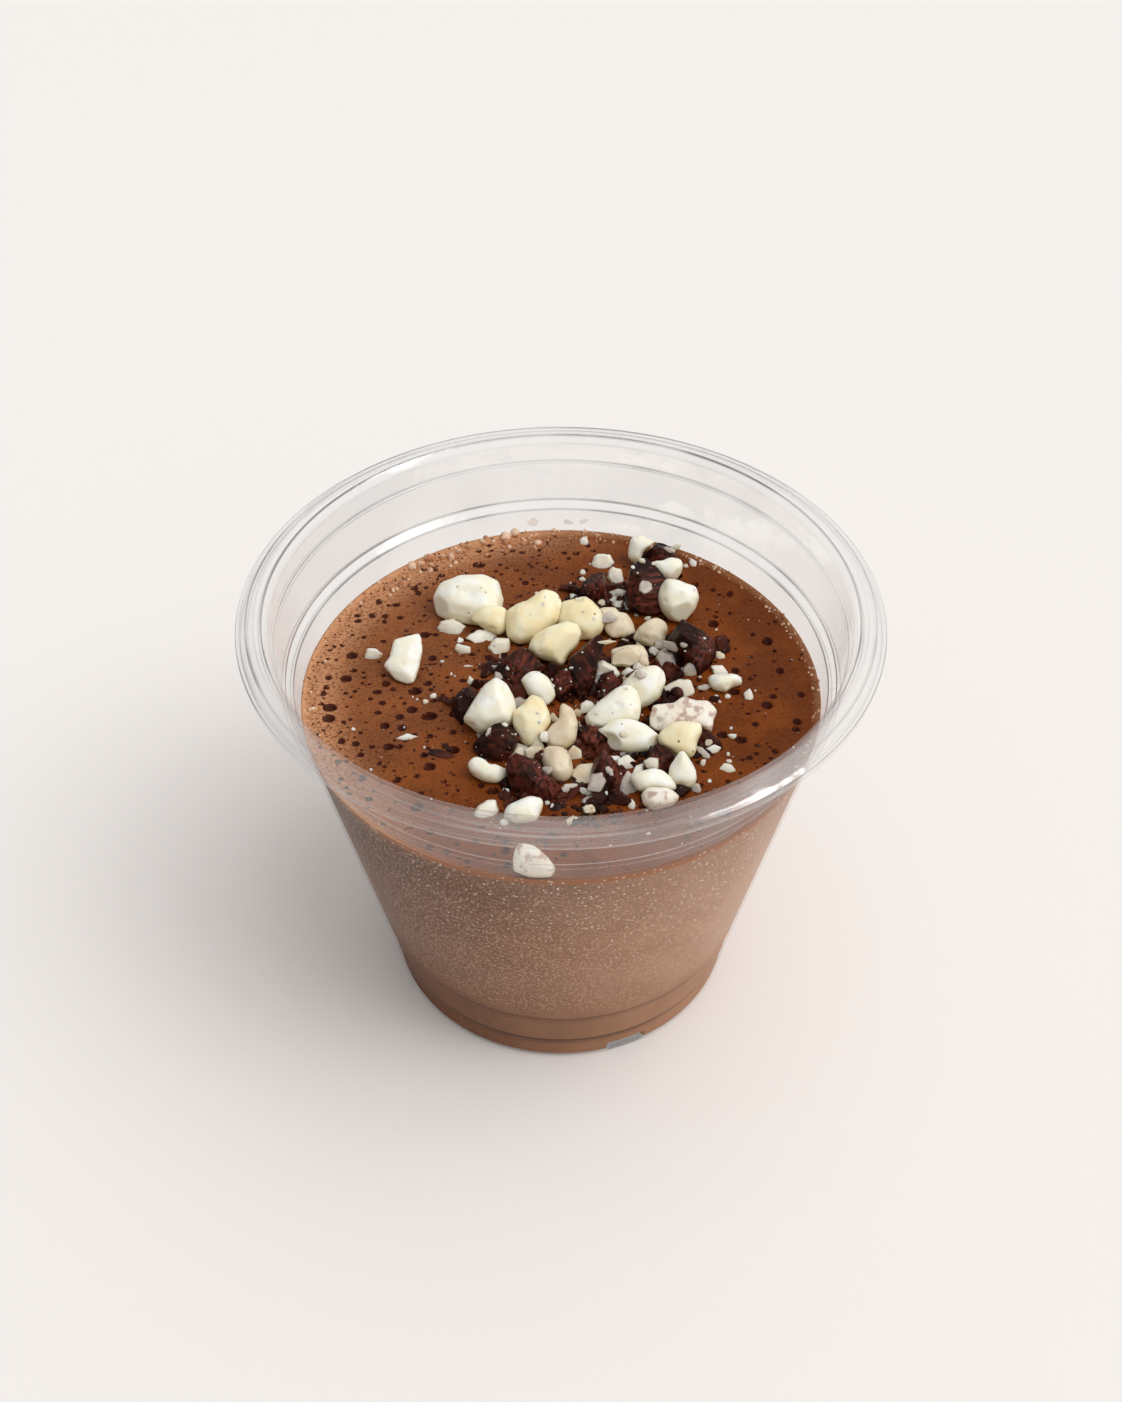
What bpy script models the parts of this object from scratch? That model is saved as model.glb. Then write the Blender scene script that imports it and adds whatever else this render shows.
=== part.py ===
"""A squat clear plastic dessert cup filled with chocolate mousse, topped with chopped pale nuts and
dark chocolate shards.

Every separate piece is one closed solid: the cup, the mousse and each large topping. Z is up, the
origin is the middle of the cup's base on the table, and the front of the cup is at -Y.
Lengths are in millimetres up to the point where a mesh is made, which is in metres.
"""

import math
from collections import namedtuple

import bmesh
import bpy
from mathutils import Matrix, Vector
from mathutils.bvhtree import BVHTree

MM = 0.001
NAME = "chocolate_mousse_cup"
TOUCHING_GAP = 0.3

# ---------------------------------------------------------------- cup
CUP_HEIGHT = 74.5
RIM_RADIUS = 47.5
WALL = 0.6
ROUND_STEPS = 48

LIP_FALL = 0.9  # the lip's top slopes down this much towards its outer edge
LIP_SKIRT = 1.2  # the turned-down edge below the lip
SKIRT_LEAN = 0.1  # the skirt's free edge is this much inside the lip's outer edge
LIP_SHOULDER_WIDTH = 0.4
LIP_SHOULDER_FALL = 0.3
LIP_ROOT_RADIUS = 43.9  # where the lip turns down into the collar
LIP_ROOT_CURVE = ((0.9, 0.1), (0.2, 0.4))  # each point's reach beyond the root and fall below the top
COLLAR_TOP_RADIUS = 43.4
COLLAR_TOP_FALL = 1.4
COLLAR_BEAD_HEIGHT = 69.2
COLLAR_BEAD_RADIUS = 42.9
COLLAR_BEAD_OUT = 0.15
COLLAR_BEAD_IN = 0.1
COLLAR_BEAD_HALF = 0.4
COLLAR_FOOT_HEIGHT = 62.0
COLLAR_FOOT_RADIUS = 42.2
LEDGE_HEIGHT = 60.7
LEDGE_RADIUS = 41.0
STEP_HEIGHT = 13.3
STEP_RADIUS = 31.4
STEP_DEPTH = 0.5
BAND_HEIGHT = 5.6
BAND_RADIUS = 29.9
GROOVE_DEPTH = 0.8
FOOT_RADIUS = 29.2
FOOT_CORNER = 0.7
STANDING_RING_INSIDE = 23.0
PANEL_RADIUS = 21.5
PANEL_RISE = 1.6

NOTCH_COUNT = 3
NOTCH_TURN = -68.0  # of the first notch, from +X towards +Y
NOTCH_WIDTH = 6.0
NOTCH_HEIGHT = 1.8
NOTCH_DEPTH = 1.5
CUT_BEYOND = 1.0  # cutters reach this far past what they cut

# ---------------------------------------------------------------- mousse
MOUSSE_LEVEL = 56.5
MENISCUS_RISE = 0.5
MENISCUS_WIDTH = 1.2

# ---------------------------------------------------------------- toppings
# Each large piece has an outline, drawn on a plane just above the mousse as it looks from a point
# above the front. The piece itself leans back from its front edge at a slope, in degrees, and
# keeps that outline. depth is its thickness behind the outline and crown its bulge in front of it.
# lift is how far its front edge is above the mousse.
LAYOUT_EYE = (0.0, -178.6, 218.0)
LAYOUT_LEVEL = MOUSSE_LEVEL + 1.0

Topping = namedtuple("Topping", "name slope depth crown outline lift", defaults=(0.0,))

NUTS = (
    Topping("nut_01", 30, 3.4, 2.6, (
        (-20.8, 20.5), (-20.2, 16.8), (-17.8, 14.9), (-13.5, 13.8), (-10.0, 15.5),
        (-9.5, 20.0), (-10.4, 24.6), (-13.0, 26.3), (-17.0, 26.1), (-19.9, 24.0))),
    Topping("nut_02", 46, 1.6, 1.2, (
        (-14.5, 15.1), (-12.0, 12.8), (-9.8, 11.3), (-8.9, 12.4), (-8.6, 15.0),
        (-9.1, 17.7), (-11.0, 18.4), (-13.0, 17.6))),
    Topping("nut_03", 34, 3.2, 1.8, (
        (-8.9, 16.8), (-8.7, 13.8), (-8.3, 10.6), (-6.6, 9.0), (-4.0, 9.8), (-0.6, 15.0),
        (0.0, 19.2), (-0.6, 21.8), (-2.6, 22.5), (-5.6, 19.3), (-7.2, 18.7))),
    Topping("nut_04", 30, 2.6, 1.8, (
        (0.0, 19.2), (-0.5, 14.0), (2.0, 10.0), (4.8, 10.3), (6.4, 12.0), (7.0, 14.6),
        (6.2, 17.6), (5.0, 19.6), (3.9, 20.8), (2.0, 19.8))),
    Topping("nut_05", 38, 2.2, 1.8, (
        (0.2, 3.6), (0.9, 6.4), (2.4, 8.8), (3.2, 11.4), (2.7, 13.7), (1.0, 14.4),
        (-2.0, 13.0), (-4.2, 10.6), (-5.0, 8.0), (-4.4, 6.3), (-2.0, 5.2))),
    Topping("nut_06", 44, 3.4, 2.2, (
        (-12.0, -11.4), (-9.6, -10.6), (-7.2, -9.4), (-6.8, -6.5), (-7.4, -3.2),
        (-8.6, -0.5), (-10.0, 0.7), (-11.6, -0.9), (-13.7, -6.0), (-14.6, -8.6))),
    Topping("nut_07", 36, 1.8, 1.6, (
        (-4.6, -14.2), (-2.8, -12.0), (-1.6, -9.0), (-2.0, -6.8), (-2.9, -4.0),
        (-4.5, -3.2), (-5.5, -5.2), (-7.1, -7.2), (-6.9, -10.0), (-6.0, -13.0))),
    Topping("nut_08", 34, 1.6, 1.2, (
        (-2.2, -5.3), (-1.0, -3.3), (-1.3, -1.2), (-2.4, 1.1), (-3.9, 2.4), (-5.0, 2.0),
        (-6.1, 0.4), (-4.8, -3.0))),
    Topping("nut_09", 36, 1.8, 1.4, (
        (0.5, -14.8), (2.0, -13.0), (2.4, -9.4), (1.6, -6.2), (0.1, -4.8), (0.0, -8.6),
        (-1.2, -10.0), (-2.6, -12.4), (-1.6, -14.4))),
    Topping("nut_10", 32, 1.8, 1.6, (
        (0.2, -21.6), (1.2, -20.8), (1.6, -18.8), (1.2, -16.6), (0.2, -14.7),
        (-2.2, -14.4), (-2.5, -16.6), (-2.3, -18.6), (-1.2, -20.8))),
    Topping("nut_11", 36, 2.4, 1.8, (
        (4.0, -10.0), (6.0, -10.4), (8.8, -9.6), (11.4, -8.8), (12.1, -5.4),
        (11.6, -2.4), (10.5, -0.8), (8.6, -1.6), (5.6, -5.2), (3.7, -8.0)), 0.8),
    Topping("nut_12", 34, 2.2, 1.8, (
        (11.4, -6.0), (13.2, -5.0), (15.0, -3.4), (15.9, 0.0), (15.9, 2.0), (14.9, 3.5),
        (13.2, 3.2), (11.6, 2.2), (9.6, -0.4), (9.0, -3.0)), 1.0),
    Topping("nut_13", 30, 1.8, 1.4, (
        (7.8, -14.6), (10.0, -15.4), (12.8, -14.9), (14.4, -13.9), (14.7, -12.2),
        (12.6, -9.9), (10.2, -8.7), (7.8, -8.9), (5.5, -11.2), (7.4, -12.6), (6.7, -13.7)), 0.5),
    Topping("nut_14", 22, 1.6, 0.8, (
        (14.8, -11.0), (18.0, -10.2), (21.2, -9.8), (22.4, -11.2), (22.7, -8.6),
        (23.6, -6.4), (22.4, -4.4), (20.6, -4.5), (18.6, -3.4), (17.2, -5.2), (14.0, -5.4),
        (13.5, -7.6), (13.3, -9.8)), 1.2),
    Topping("nut_15", 40, 1.8, 1.4, (
        (17.2, -16.2), (19.0, -16.6), (19.6, -15.6), (20.0, -13.0), (20.9, -11.0),
        (20.8, -9.4), (17.2, -9.2), (14.7, -11.6), (14.6, -13.0), (15.4, -14.8))),
    Topping("nut_16", 42, 3.0, 2.2, (
        (17.6, 15.0), (19.6, 14.6), (21.6, 17.8), (22.4, 20.6), (22.2, 23.3), (19.6, 24.8),
        (17.6, 25.4), (16.5, 23.4), (16.0, 20.6), (16.4, 17.4))),
    Topping("nut_17", 40, 1.8, 1.2, (
        (16.8, 26.0), (18.0, 25.3), (19.4, 26.0), (20.3, 28.6), (20.2, 30.6), (18.6, 31.2),
        (16.6, 29.8), (15.0, 31.0), (15.4, 28.2)), 0.8),
    Topping("nut_18", 62, 1.4, 1.0, (
        (12.4, 29.8), (13.3, 31.0), (13.6, 33.0), (16.0, 36.0), (14.2, 37.6), (12.2, 36.8),
        (11.8, 34.4), (11.6, 31.4))),
    Topping("nut_19", 26, 1.2, 0.6, (
        (8.0, 10.3), (11.9, 11.2), (11.4, 14.2), (10.6, 16.4), (9.2, 16.6), (8.9, 17.9),
        (6.3, 17.9), (7.0, 14.6), (7.2, 12.2))),
    Topping("nut_20", 34, 1.8, 1.4, (
        (13.6, 8.6), (16.1, 8.0), (16.4, 10.6), (17.0, 12.6), (16.6, 14.2), (15.4, 15.2),
        (14.0, 14.6), (12.6, 12.8), (11.5, 10.4))),
    Topping("nut_21", 24, 1.0, 0.6, (
        (8.2, 5.6), (10.4, 5.2), (11.4, 3.8), (13.7, 3.6), (13.5, 6.8), (13.0, 8.6),
        (10.2, 8.4), (7.9, 7.5)), 0.6),
    Topping("nut_22", 18, 1.8, 1.4, (
        (25.0, -2.4), (26.2, -1.0), (27.9, -0.3), (27.6, 1.0), (24.2, 1.3), (22.8, 0.9),
        (23.4, -1.6))),
    Topping("nut_23", 30, 1.4, 0.8, (
        (-23.7, -0.5), (-22.8, -0.4), (-22.3, 3.8), (-21.9, 7.6), (-22.6, 11.4), (-26.4, 9.9),
        (-26.6, 5.6), (-27.5, 3.8), (-25.6, 0.8))),
    Topping("nut_24", 34, 1.4, 1.2, (
        (11.0, -23.2), (13.4, -22.7), (15.8, -23.3), (16.6, -22.8), (15.2, -19.6),
        (13.4, -19.0), (11.6, -19.8), (10.0, -20.6)), 1.0),
    Topping("nut_25", 46, 1.8, 1.2, (
        (18.4, -22.7), (19.4, -21.4), (19.4, -19.4), (18.7, -17.2), (17.8, -15.2),
        (16.0, -18.6), (15.7, -20.4), (16.4, -22.1), (17.0, -21.6))),
    Topping("nut_26", 26, 1.6, 1.4, (
        (-9.2, -21.9), (-8.1, -20.8), (-7.9, -19.3), (-9.0, -18.0), (-10.2, -18.7),
        (-11.2, -17.5), (-12.6, -16.7), (-13.5, -18.0), (-12.8, -19.8), (-11.2, -21.2))),
    Topping("nut_27", 24, 1.4, 1.2, (
        (13.0, -27.2), (15.8, -26.0), (16.8, -24.5), (15.2, -23.0), (12.4, -23.0),
        (11.6, -24.2), (11.8, -26.0))),
    Topping("nut_28", 26, 1.6, 1.2, (
        (-6.2, -29.8), (-3.6, -29.0), (-3.0, -27.0), (-2.7, -25.2), (-4.4, -24.6),
        (-5.9, -25.5), (-7.6, -26.6), (-8.0, -28.6))),
    Topping("nut_29", 54, 1.3, 0.5, (
        (-4.0, -39.6), (-1.2, -39.4), (-0.9, -38.0), (-2.2, -35.9), (-4.0, -34.1),
        (-6.1, -33.7), (-6.5, -36.4), (-6.6, -38.4))),
)

CHOCOLATES = (
    Topping("chocolate_01", 58, 3.4, 1.8, (
        (12.6, 17.2), (15.6, 17.0), (16.4, 21.0), (17.3, 25.0), (16.0, 27.6), (15.0, 30.6),
        (13.2, 31.6), (12.0, 30.4), (10.8, 27.6), (10.2, 23.6), (11.0, 19.2))),
    Topping("chocolate_02", 46, 2.0, 1.0, (
        (14.6, 30.4), (16.6, 29.6), (18.2, 30.6), (20.0, 31.4), (19.4, 33.6), (18.2, 35.0),
        (16.2, 35.6), (14.6, 34.0), (13.1, 32.4)), 1.0),
    Topping("chocolate_03", 34, 3.0, 1.8, (
        (21.4, 1.2), (23.2, 3.0), (24.0, 6.0), (25.0, 9.2), (23.4, 12.4), (22.0, 15.0),
        (19.4, 14.6), (17.6, 13.0), (16.4, 10.4), (16.8, 8.0), (17.6, 5.4), (19.0, 2.6))),
    Topping("chocolate_04", 22, 1.6, 1.4, (
        (2.9, -6.6), (4.0, -3.0), (4.8, 2.0), (5.6, 7.0), (6.6, 10.4), (4.0, 10.6),
        (2.0, 8.2), (1.2, 5.2), (1.6, 1.0), (2.0, -3.0))),
    Topping("chocolate_05", 30, 2.6, 2.0, (
        (0.2, -26.8), (1.6, -24.9), (-1.0, -21.2), (-3.2, -18.2), (-4.8, -15.7),
        (-6.2, -16.2), (-7.2, -17.6), (-7.6, -20.4), (-8.2, -22.8), (-7.6, -25.0),
        (-5.4, -25.4), (-2.6, -25.8))),
    Topping("chocolate_06", 28, 2.0, 1.4, (
        (-6.4, -1.0), (-4.0, 0.6), (-1.6, 1.8), (-2.4, 4.4), (-5.4, 6.8), (-7.6, 8.2),
        (-8.8, 6.0), (-10.4, 3.8), (-11.2, 1.2), (-8.4, -0.6))),
    Topping("chocolate_07", 24, 1.6, 1.2, (
        (-15.8, -9.8), (-14.2, -9.6), (-13.6, -6.0), (-12.2, -3.0), (-13.0, -1.2),
        (-15.6, -3.4), (-17.3, -6.0), (-17.4, -8.4))),
    Topping("chocolate_08", 32, 2.0, 1.8, (
        (-9.8, -17.5), (-8.4, -16.6), (-7.4, -14.8), (-6.6, -11.8), (-7.2, -9.6),
        (-8.9, -8.9), (-10.4, -11.4), (-12.4, -12.2), (-12.8, -14.0), (-11.4, -16.4))),
    Topping("chocolate_09", 34, 1.6, 1.2, (
        (7.4, -24.0), (8.2, -22.6), (8.8, -19.4), (8.2, -18.0), (6.4, -16.4), (5.8, -14.6),
        (4.2, -16.2), (5.2, -20.6), (6.2, -23.0))),
    Topping("chocolate_10", 40, 2.0, 1.4, (
        (5.6, 19.8), (7.4, 18.8), (8.2, 22.0), (8.0, 24.6), (7.2, 27.4), (4.4, 27.6),
        (3.6, 25.2), (3.4, 21.6))),
    Topping("chocolate_11", 34, 1.6, 1.4, (
        (13.2, -19.6), (15.4, -19.4), (16.2, -17.2), (15.0, -14.8), (13.0, -14.8),
        (11.6, -16.6), (10.8, -18.6))),
    Topping("chocolate_12", 28, 1.4, 1.0, (
        (4.0, -14.8), (6.4, -14.4), (7.4, -12.0), (5.0, -10.9), (2.5, -10.4), (2.4, -13.6))),
    Topping("chocolate_13", 20, 1.2, 0.8, (
        (0.2, -6.0), (1.4, -4.0), (1.6, 0.0), (0.6, 3.0), (-1.4, 1.6), (-1.4, -5.0))),
    Topping("chocolate_14", 30, 1.2, 0.8, (
        (6.2, -5.0), (8.4, -1.6), (9.9, 1.2), (8.6, 1.4), (6.4, -0.6), (5.0, -4.2))),
)

# The loops that a piece is lofted through: how far each is from the outline, as a share of the
# depth behind it or of the crown in front of it, and its size as a share of the outline's.
NUT_LOOPS = ((-1.0, 0.62), (-0.45, 0.93), (0.0, 1.0), (0.55, 0.86), (1.0, 0.5))
CHOCOLATE_LOOPS = ((-1.0, 0.74), (0.0, 1.0), (0.6, 0.84), (1.0, 0.42))
SHARP_ANGLE = 35.0

# ---------------------------------------------------------------- finishes
Finish = namedtuple("Finish", "name colour roughness transmission", defaults=(0.0,))

CLEAR_PLASTIC = Finish("clear plastic", (0.94, 0.94, 0.94), 0.03, 1.0)
MOUSSE_BROWN = Finish("mousse", (0.20, 0.085, 0.035), 0.45)
NUT_IVORY = Finish("pale nut", (0.80, 0.72, 0.54), 0.4)
DARK_CHOCOLATE = Finish("dark chocolate", (0.035, 0.012, 0.008), 0.35)

MERGE_DISTANCE = 0.00001  # metres; points on the axis closer than this become one


def clear_scene():
    """Remove whatever the scene holds."""
    for thing in list(bpy.data.objects):
        bpy.data.objects.remove(thing, do_unlink=True)


def new_collection(name):
    """A collection of that name in the scene."""
    collection = bpy.data.collections.new(name)
    bpy.context.scene.collection.children.link(collection)
    return collection


def material(finish):
    """A Principled material with that finish."""
    made = bpy.data.materials.new(finish.name)
    made.use_nodes = True
    shader = made.node_tree.nodes["Principled BSDF"]
    shader.inputs["Base Color"].default_value = (*finish.colour, 1.0)
    shader.inputs["Roughness"].default_value = finish.roughness
    shader.inputs["Metallic"].default_value = 0.0
    shader.inputs["Transmission Weight"].default_value = finish.transmission
    return made


def new_object(name, mesh, collection, surface=None):
    """An object that holds the mesh, with a material if one is given."""
    made = bpy.data.objects.new(name, mesh)
    collection.objects.link(made)
    if surface:
        mesh.materials.append(surface)
    return made


def mesh_from(name, shape):
    """A mesh in metres from a bmesh in millimetres, which is used up."""
    bmesh.ops.scale(shape, vec=(MM, MM, MM), verts=shape.verts)
    mesh = bpy.data.meshes.new(name)
    shape.to_mesh(mesh)
    shape.free()
    return mesh


def turned(name, profile, collection, surface):
    """A solid turned about Z from (radius, height) points, whose two ends lie on the axis."""
    shape = bmesh.new()
    points = [shape.verts.new((radius, 0.0, height)) for radius, height in profile]
    for above, below in zip(points, points[1:]):
        shape.edges.new((above, below))
    made = new_object(name, mesh_from(name, shape), collection, surface)
    screw = made.modifiers.new("turn", "SCREW")
    screw.axis = "Z"
    screw.steps = ROUND_STEPS
    screw.render_steps = ROUND_STEPS
    screw.use_merge_vertices = True
    screw.merge_threshold = MERGE_DISTANCE
    screw.use_smooth_shade = True
    return made


# ---------------------------------------------------------------- cup
def cup_outside():
    """The cup's outer side from the lip's free edge down to the middle of the underside."""
    lip_edge = RIM_RADIUS - WALL
    lip_top = CUP_HEIGHT - WALL
    outer_top = lip_top - LIP_FALL
    lip = [
        (lip_edge - SKIRT_LEAN, outer_top - LIP_SKIRT),
        (lip_edge, outer_top - LIP_SHOULDER_FALL),
        (lip_edge - LIP_SHOULDER_WIDTH, outer_top),
    ]
    root = [(LIP_ROOT_RADIUS + reach, lip_top - fall) for reach, fall in LIP_ROOT_CURVE]
    return lip + root + [
        (COLLAR_TOP_RADIUS, lip_top - COLLAR_TOP_FALL),
        (COLLAR_BEAD_RADIUS + COLLAR_BEAD_OUT, COLLAR_BEAD_HEIGHT + COLLAR_BEAD_HALF),
        (COLLAR_BEAD_RADIUS - COLLAR_BEAD_IN, COLLAR_BEAD_HEIGHT - COLLAR_BEAD_HALF),
        (COLLAR_FOOT_RADIUS, COLLAR_FOOT_HEIGHT),
        (LEDGE_RADIUS, LEDGE_HEIGHT),
        (STEP_RADIUS, STEP_HEIGHT),
        (STEP_RADIUS - STEP_DEPTH, STEP_HEIGHT - STEP_DEPTH),
        (BAND_RADIUS, BAND_HEIGHT),
        (BAND_RADIUS - GROOVE_DEPTH, BAND_HEIGHT - GROOVE_DEPTH),
        (FOOT_RADIUS, FOOT_CORNER),
        (FOOT_RADIUS - FOOT_CORNER, 0.0),
        (STANDING_RING_INSIDE, 0.0),
        (PANEL_RADIUS, PANEL_RISE),
        (0.0, PANEL_RISE),
    ]


def offset_inwards(outside, distance):
    """The same line moved to its inner side by a distance, with mitred corners."""
    moved = []
    for number, (radius, height) in enumerate(outside):
        here = Vector((radius, height))
        sides = []
        if number > 0:
            sides.append((here - Vector(outside[number - 1])).normalized())
        if number < len(outside) - 1:
            sides.append((Vector(outside[number + 1]) - here).normalized())
        normals = [Vector((side.y, -side.x)) for side in sides]
        mitre = sum(normals, Vector((0.0, 0.0))).normalized()
        reach = distance / mitre.dot(normals[0])
        moved.append(tuple(here + mitre * reach))
    return moved


def cup_profile():
    """The cup's closed section, from the middle of its floor up the inside and down the outside."""
    outside = cup_outside()
    inside = offset_inwards(outside, WALL)
    inside[-1] = (0.0, inside[-1][1])
    return inside[::-1] + outside


def block(name, radii, width, heights, turn, collection):
    """A block across the cup's foot, from one radius and height to another."""
    shape = bmesh.new()
    bmesh.ops.create_cube(shape, size=1.0)
    size = (radii[1] - radii[0], width, heights[1] - heights[0])
    middle = (sum(radii) / 2, 0.0, sum(heights) / 2)
    bmesh.ops.scale(shape, vec=size, verts=shape.verts)
    bmesh.ops.translate(shape, vec=middle, verts=shape.verts)
    bmesh.ops.rotate(shape, matrix=Matrix.Rotation(math.radians(turn), 3, "Z"), verts=shape.verts)
    made = new_object(name, mesh_from(name, shape), collection)
    made.hide_render = True
    made.display_type = "WIRE"
    return made


def combine(target, tool, operation):
    """Add a Boolean to the target."""
    boolean = target.modifiers.new(tool.name, "BOOLEAN")
    boolean.operation = operation
    boolean.object = tool
    boolean.solver = "EXACT"


def notch_turns():
    """The compass angles of the notches round the foot."""
    return [NOTCH_TURN + number * 360.0 / NOTCH_COUNT for number in range(NOTCH_COUNT)]


def add_cup(parts, tools):
    """The clear cup: one thin moulded sheet, with notches pressed into its foot."""
    cup = turned("cup", cup_profile(), parts, material(CLEAR_PLASTIC))
    bottom_of_notch = FOOT_RADIUS - NOTCH_DEPTH
    for number, turn in enumerate(notch_turns()):
        pad = block(f"pad_{number}", (bottom_of_notch - WALL, FOOT_RADIUS - WALL / 2),
                    NOTCH_WIDTH + 2 * WALL, (WALL / 2, NOTCH_HEIGHT + WALL), turn, tools)
        combine(cup, pad, "UNION")
    for number, turn in enumerate(notch_turns()):
        notch = block(f"notch_{number}", (bottom_of_notch, FOOT_RADIUS + CUT_BEYOND),
                      NOTCH_WIDTH, (-CUT_BEYOND, NOTCH_HEIGHT), turn, tools)
        combine(cup, notch, "DIFFERENCE")
    return cup


# ---------------------------------------------------------------- mousse
def radius_at(line, height):
    """The radius of a falling line of (radius, height) points at a height."""
    for (radius_above, above), (radius_below, below) in zip(line, line[1:]):
        if below <= height <= above:
            share = (height - below) / (above - below)
            return radius_below + share * (radius_above - radius_below)
    raise ValueError("the line does not reach that height")


def mousse_profile():
    """The mousse's section: the top with its raised edge, the wall and the floor."""
    wall = offset_inwards(cup_outside(), WALL + TOUCHING_GAP)
    edge_height = MOUSSE_LEVEL + MENISCUS_RISE
    edge_radius = radius_at(wall, edge_height)
    below = [(radius, height) for radius, height in wall if height < MOUSSE_LEVEL]
    below[-1] = (0.0, below[-1][1])
    top = [(0.0, MOUSSE_LEVEL), (edge_radius - MENISCUS_WIDTH, MOUSSE_LEVEL)]
    return top + [(edge_radius, edge_height)] + below


def add_mousse(parts, tools):
    """The mousse, a solid that fills the cup up to its level."""
    mousse = turned("mousse", mousse_profile(), parts, material(MOUSSE_BROWN))
    around = WALL + TOUCHING_GAP
    for number, turn in enumerate(notch_turns()):
        room = block(f"notch_room_{number}", (FOOT_RADIUS - NOTCH_DEPTH - around, RIM_RADIUS),
                     NOTCH_WIDTH + 2 * around, (-CUT_BEYOND, NOTCH_HEIGHT + around), turn, tools)
        combine(mousse, room, "DIFFERENCE")
    return mousse


# ---------------------------------------------------------------- toppings
def onto_slope(point, front, slope, lift):
    """Where the line from the layout's eye to a point of the layout meets a leaning plane."""
    eye = Vector(LAYOUT_EYE)
    ray = Vector((point[0], point[1], LAYOUT_LEVEL)) - eye
    normal = Vector((0.0, -math.sin(math.radians(slope)), math.cos(math.radians(slope))))
    on_plane = Vector((0.0, front, MOUSSE_LEVEL + lift))
    return eye + ray * ((on_plane - eye).dot(normal) / ray.dot(normal)), normal


def lofted(topping, loops):
    """A closed body lofted through copies of the outline on both sides of its leaning plane."""
    front = min(y for _, y in topping.outline)
    rim = []
    for point in topping.outline:
        corner, normal = onto_slope(point, front, topping.slope, topping.lift)
        rim.append(corner)
    middle = sum(rim, Vector((0.0, 0.0, 0.0))) / len(rim)
    shape = bmesh.new()
    rings = []
    for share, size in loops:
        shift = normal * share * (topping.crown if share > 0.0 else topping.depth)
        rings.append([shape.verts.new(middle + (corner - middle) * size + shift) for corner in rim])
    for below, above in zip(rings, rings[1:]):
        for number, corner in enumerate(below):
            following = (number + 1) % len(below)
            shape.faces.new((corner, below[following], above[following], above[number]))
    shape.faces.new(rings[0][::-1])
    shape.faces.new(rings[-1])
    bmesh.ops.triangulate(shape, faces=shape.faces)
    return shape


def level_underside(shape):
    """Cut the body off level, just above the mousse."""
    everything = shape.verts[:] + shape.edges[:] + shape.faces[:]
    floor = Vector((0.0, 0.0, MOUSSE_LEVEL + TOUCHING_GAP))
    down = Vector((0.0, 0.0, -1.0))
    bmesh.ops.bisect_plane(shape, geom=everything, plane_co=floor, plane_no=down, clear_outer=True)
    bmesh.ops.holes_fill(shape, edges=[edge for edge in shape.edges if edge.is_boundary])


def room_for(topping, shape, tools):
    """The room that a piece takes up with the gap around it, as a cutter for its neighbours."""
    grown = shape.copy()
    grown.normal_update()
    for vert, normal in [(vert, vert.normal.copy()) for vert in grown.verts]:
        vert.co += normal * TOUCHING_GAP
    room = new_object(f"room_{topping.name}", mesh_from(f"room_{topping.name}", grown), tools)
    room.hide_render = True
    room.display_type = "WIRE"
    return room


def add_toppings(groups, parts, tools):
    """Make the toppings in order. A piece that would run into an earlier one is cut back by it."""
    settled = []
    for toppings, loops, surface in groups:
        for topping in toppings:
            shape = lofted(topping, loops)
            level_underside(shape)
            bmesh.ops.recalc_face_normals(shape, faces=shape.faces)
            tree = BVHTree.FromBMesh(shape)
            in_the_way = [room for other, room in settled if tree.overlap(other)]
            room = room_for(topping, shape, tools)
            settled.append((tree, room))
            mesh = mesh_from(topping.name, shape)
            piece = new_object(topping.name, mesh, parts, surface)
            for neighbour in in_the_way:
                combine(piece, neighbour, "DIFFERENCE")
            mesh.shade_smooth()
            mesh.set_sharp_from_angle(angle=math.radians(SHARP_ANGLE))


def main():
    """Make the cup, the mousse and the toppings."""
    clear_scene()
    parts = new_collection(NAME)
    tools = new_collection("cutters")
    add_cup(parts, tools)
    add_mousse(parts, tools)
    add_toppings(
        (
            (NUTS, NUT_LOOPS, material(NUT_IVORY)),
            (CHOCOLATES, CHOCOLATE_LOOPS, material(DARK_CHOCOLATE)),
        ),
        parts, tools)


main()
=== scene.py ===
"""The looks of a clear plastic cup of chocolate mousse, topped with chopped nuts and chocolate.

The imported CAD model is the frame. Each of its nodes is replaced by a finer piece of the same shape
and size, and the toppings too small for a node are added. Lengths are in millimetres up to the
point where a mesh is made, which is in metres. The front of the cup is at -Y.
"""

import math
import random

import bmesh
import bpy
import numpy as np
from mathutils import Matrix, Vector, noise
from mathutils.bvhtree import BVHTree


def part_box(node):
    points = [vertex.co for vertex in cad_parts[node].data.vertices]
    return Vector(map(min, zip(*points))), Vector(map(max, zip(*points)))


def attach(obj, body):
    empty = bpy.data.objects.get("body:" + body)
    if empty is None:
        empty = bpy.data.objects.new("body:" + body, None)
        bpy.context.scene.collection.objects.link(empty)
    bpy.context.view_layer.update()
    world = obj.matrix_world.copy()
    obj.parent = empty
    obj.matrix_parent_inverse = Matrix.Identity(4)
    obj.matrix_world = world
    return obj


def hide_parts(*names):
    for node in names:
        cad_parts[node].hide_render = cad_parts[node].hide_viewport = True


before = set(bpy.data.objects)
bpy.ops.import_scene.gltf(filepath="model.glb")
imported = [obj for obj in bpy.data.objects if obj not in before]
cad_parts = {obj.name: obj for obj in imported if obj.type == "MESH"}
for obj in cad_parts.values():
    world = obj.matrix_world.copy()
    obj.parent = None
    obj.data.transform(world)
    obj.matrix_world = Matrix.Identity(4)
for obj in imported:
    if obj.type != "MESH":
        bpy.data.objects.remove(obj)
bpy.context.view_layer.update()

MM = 0.001

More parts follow.
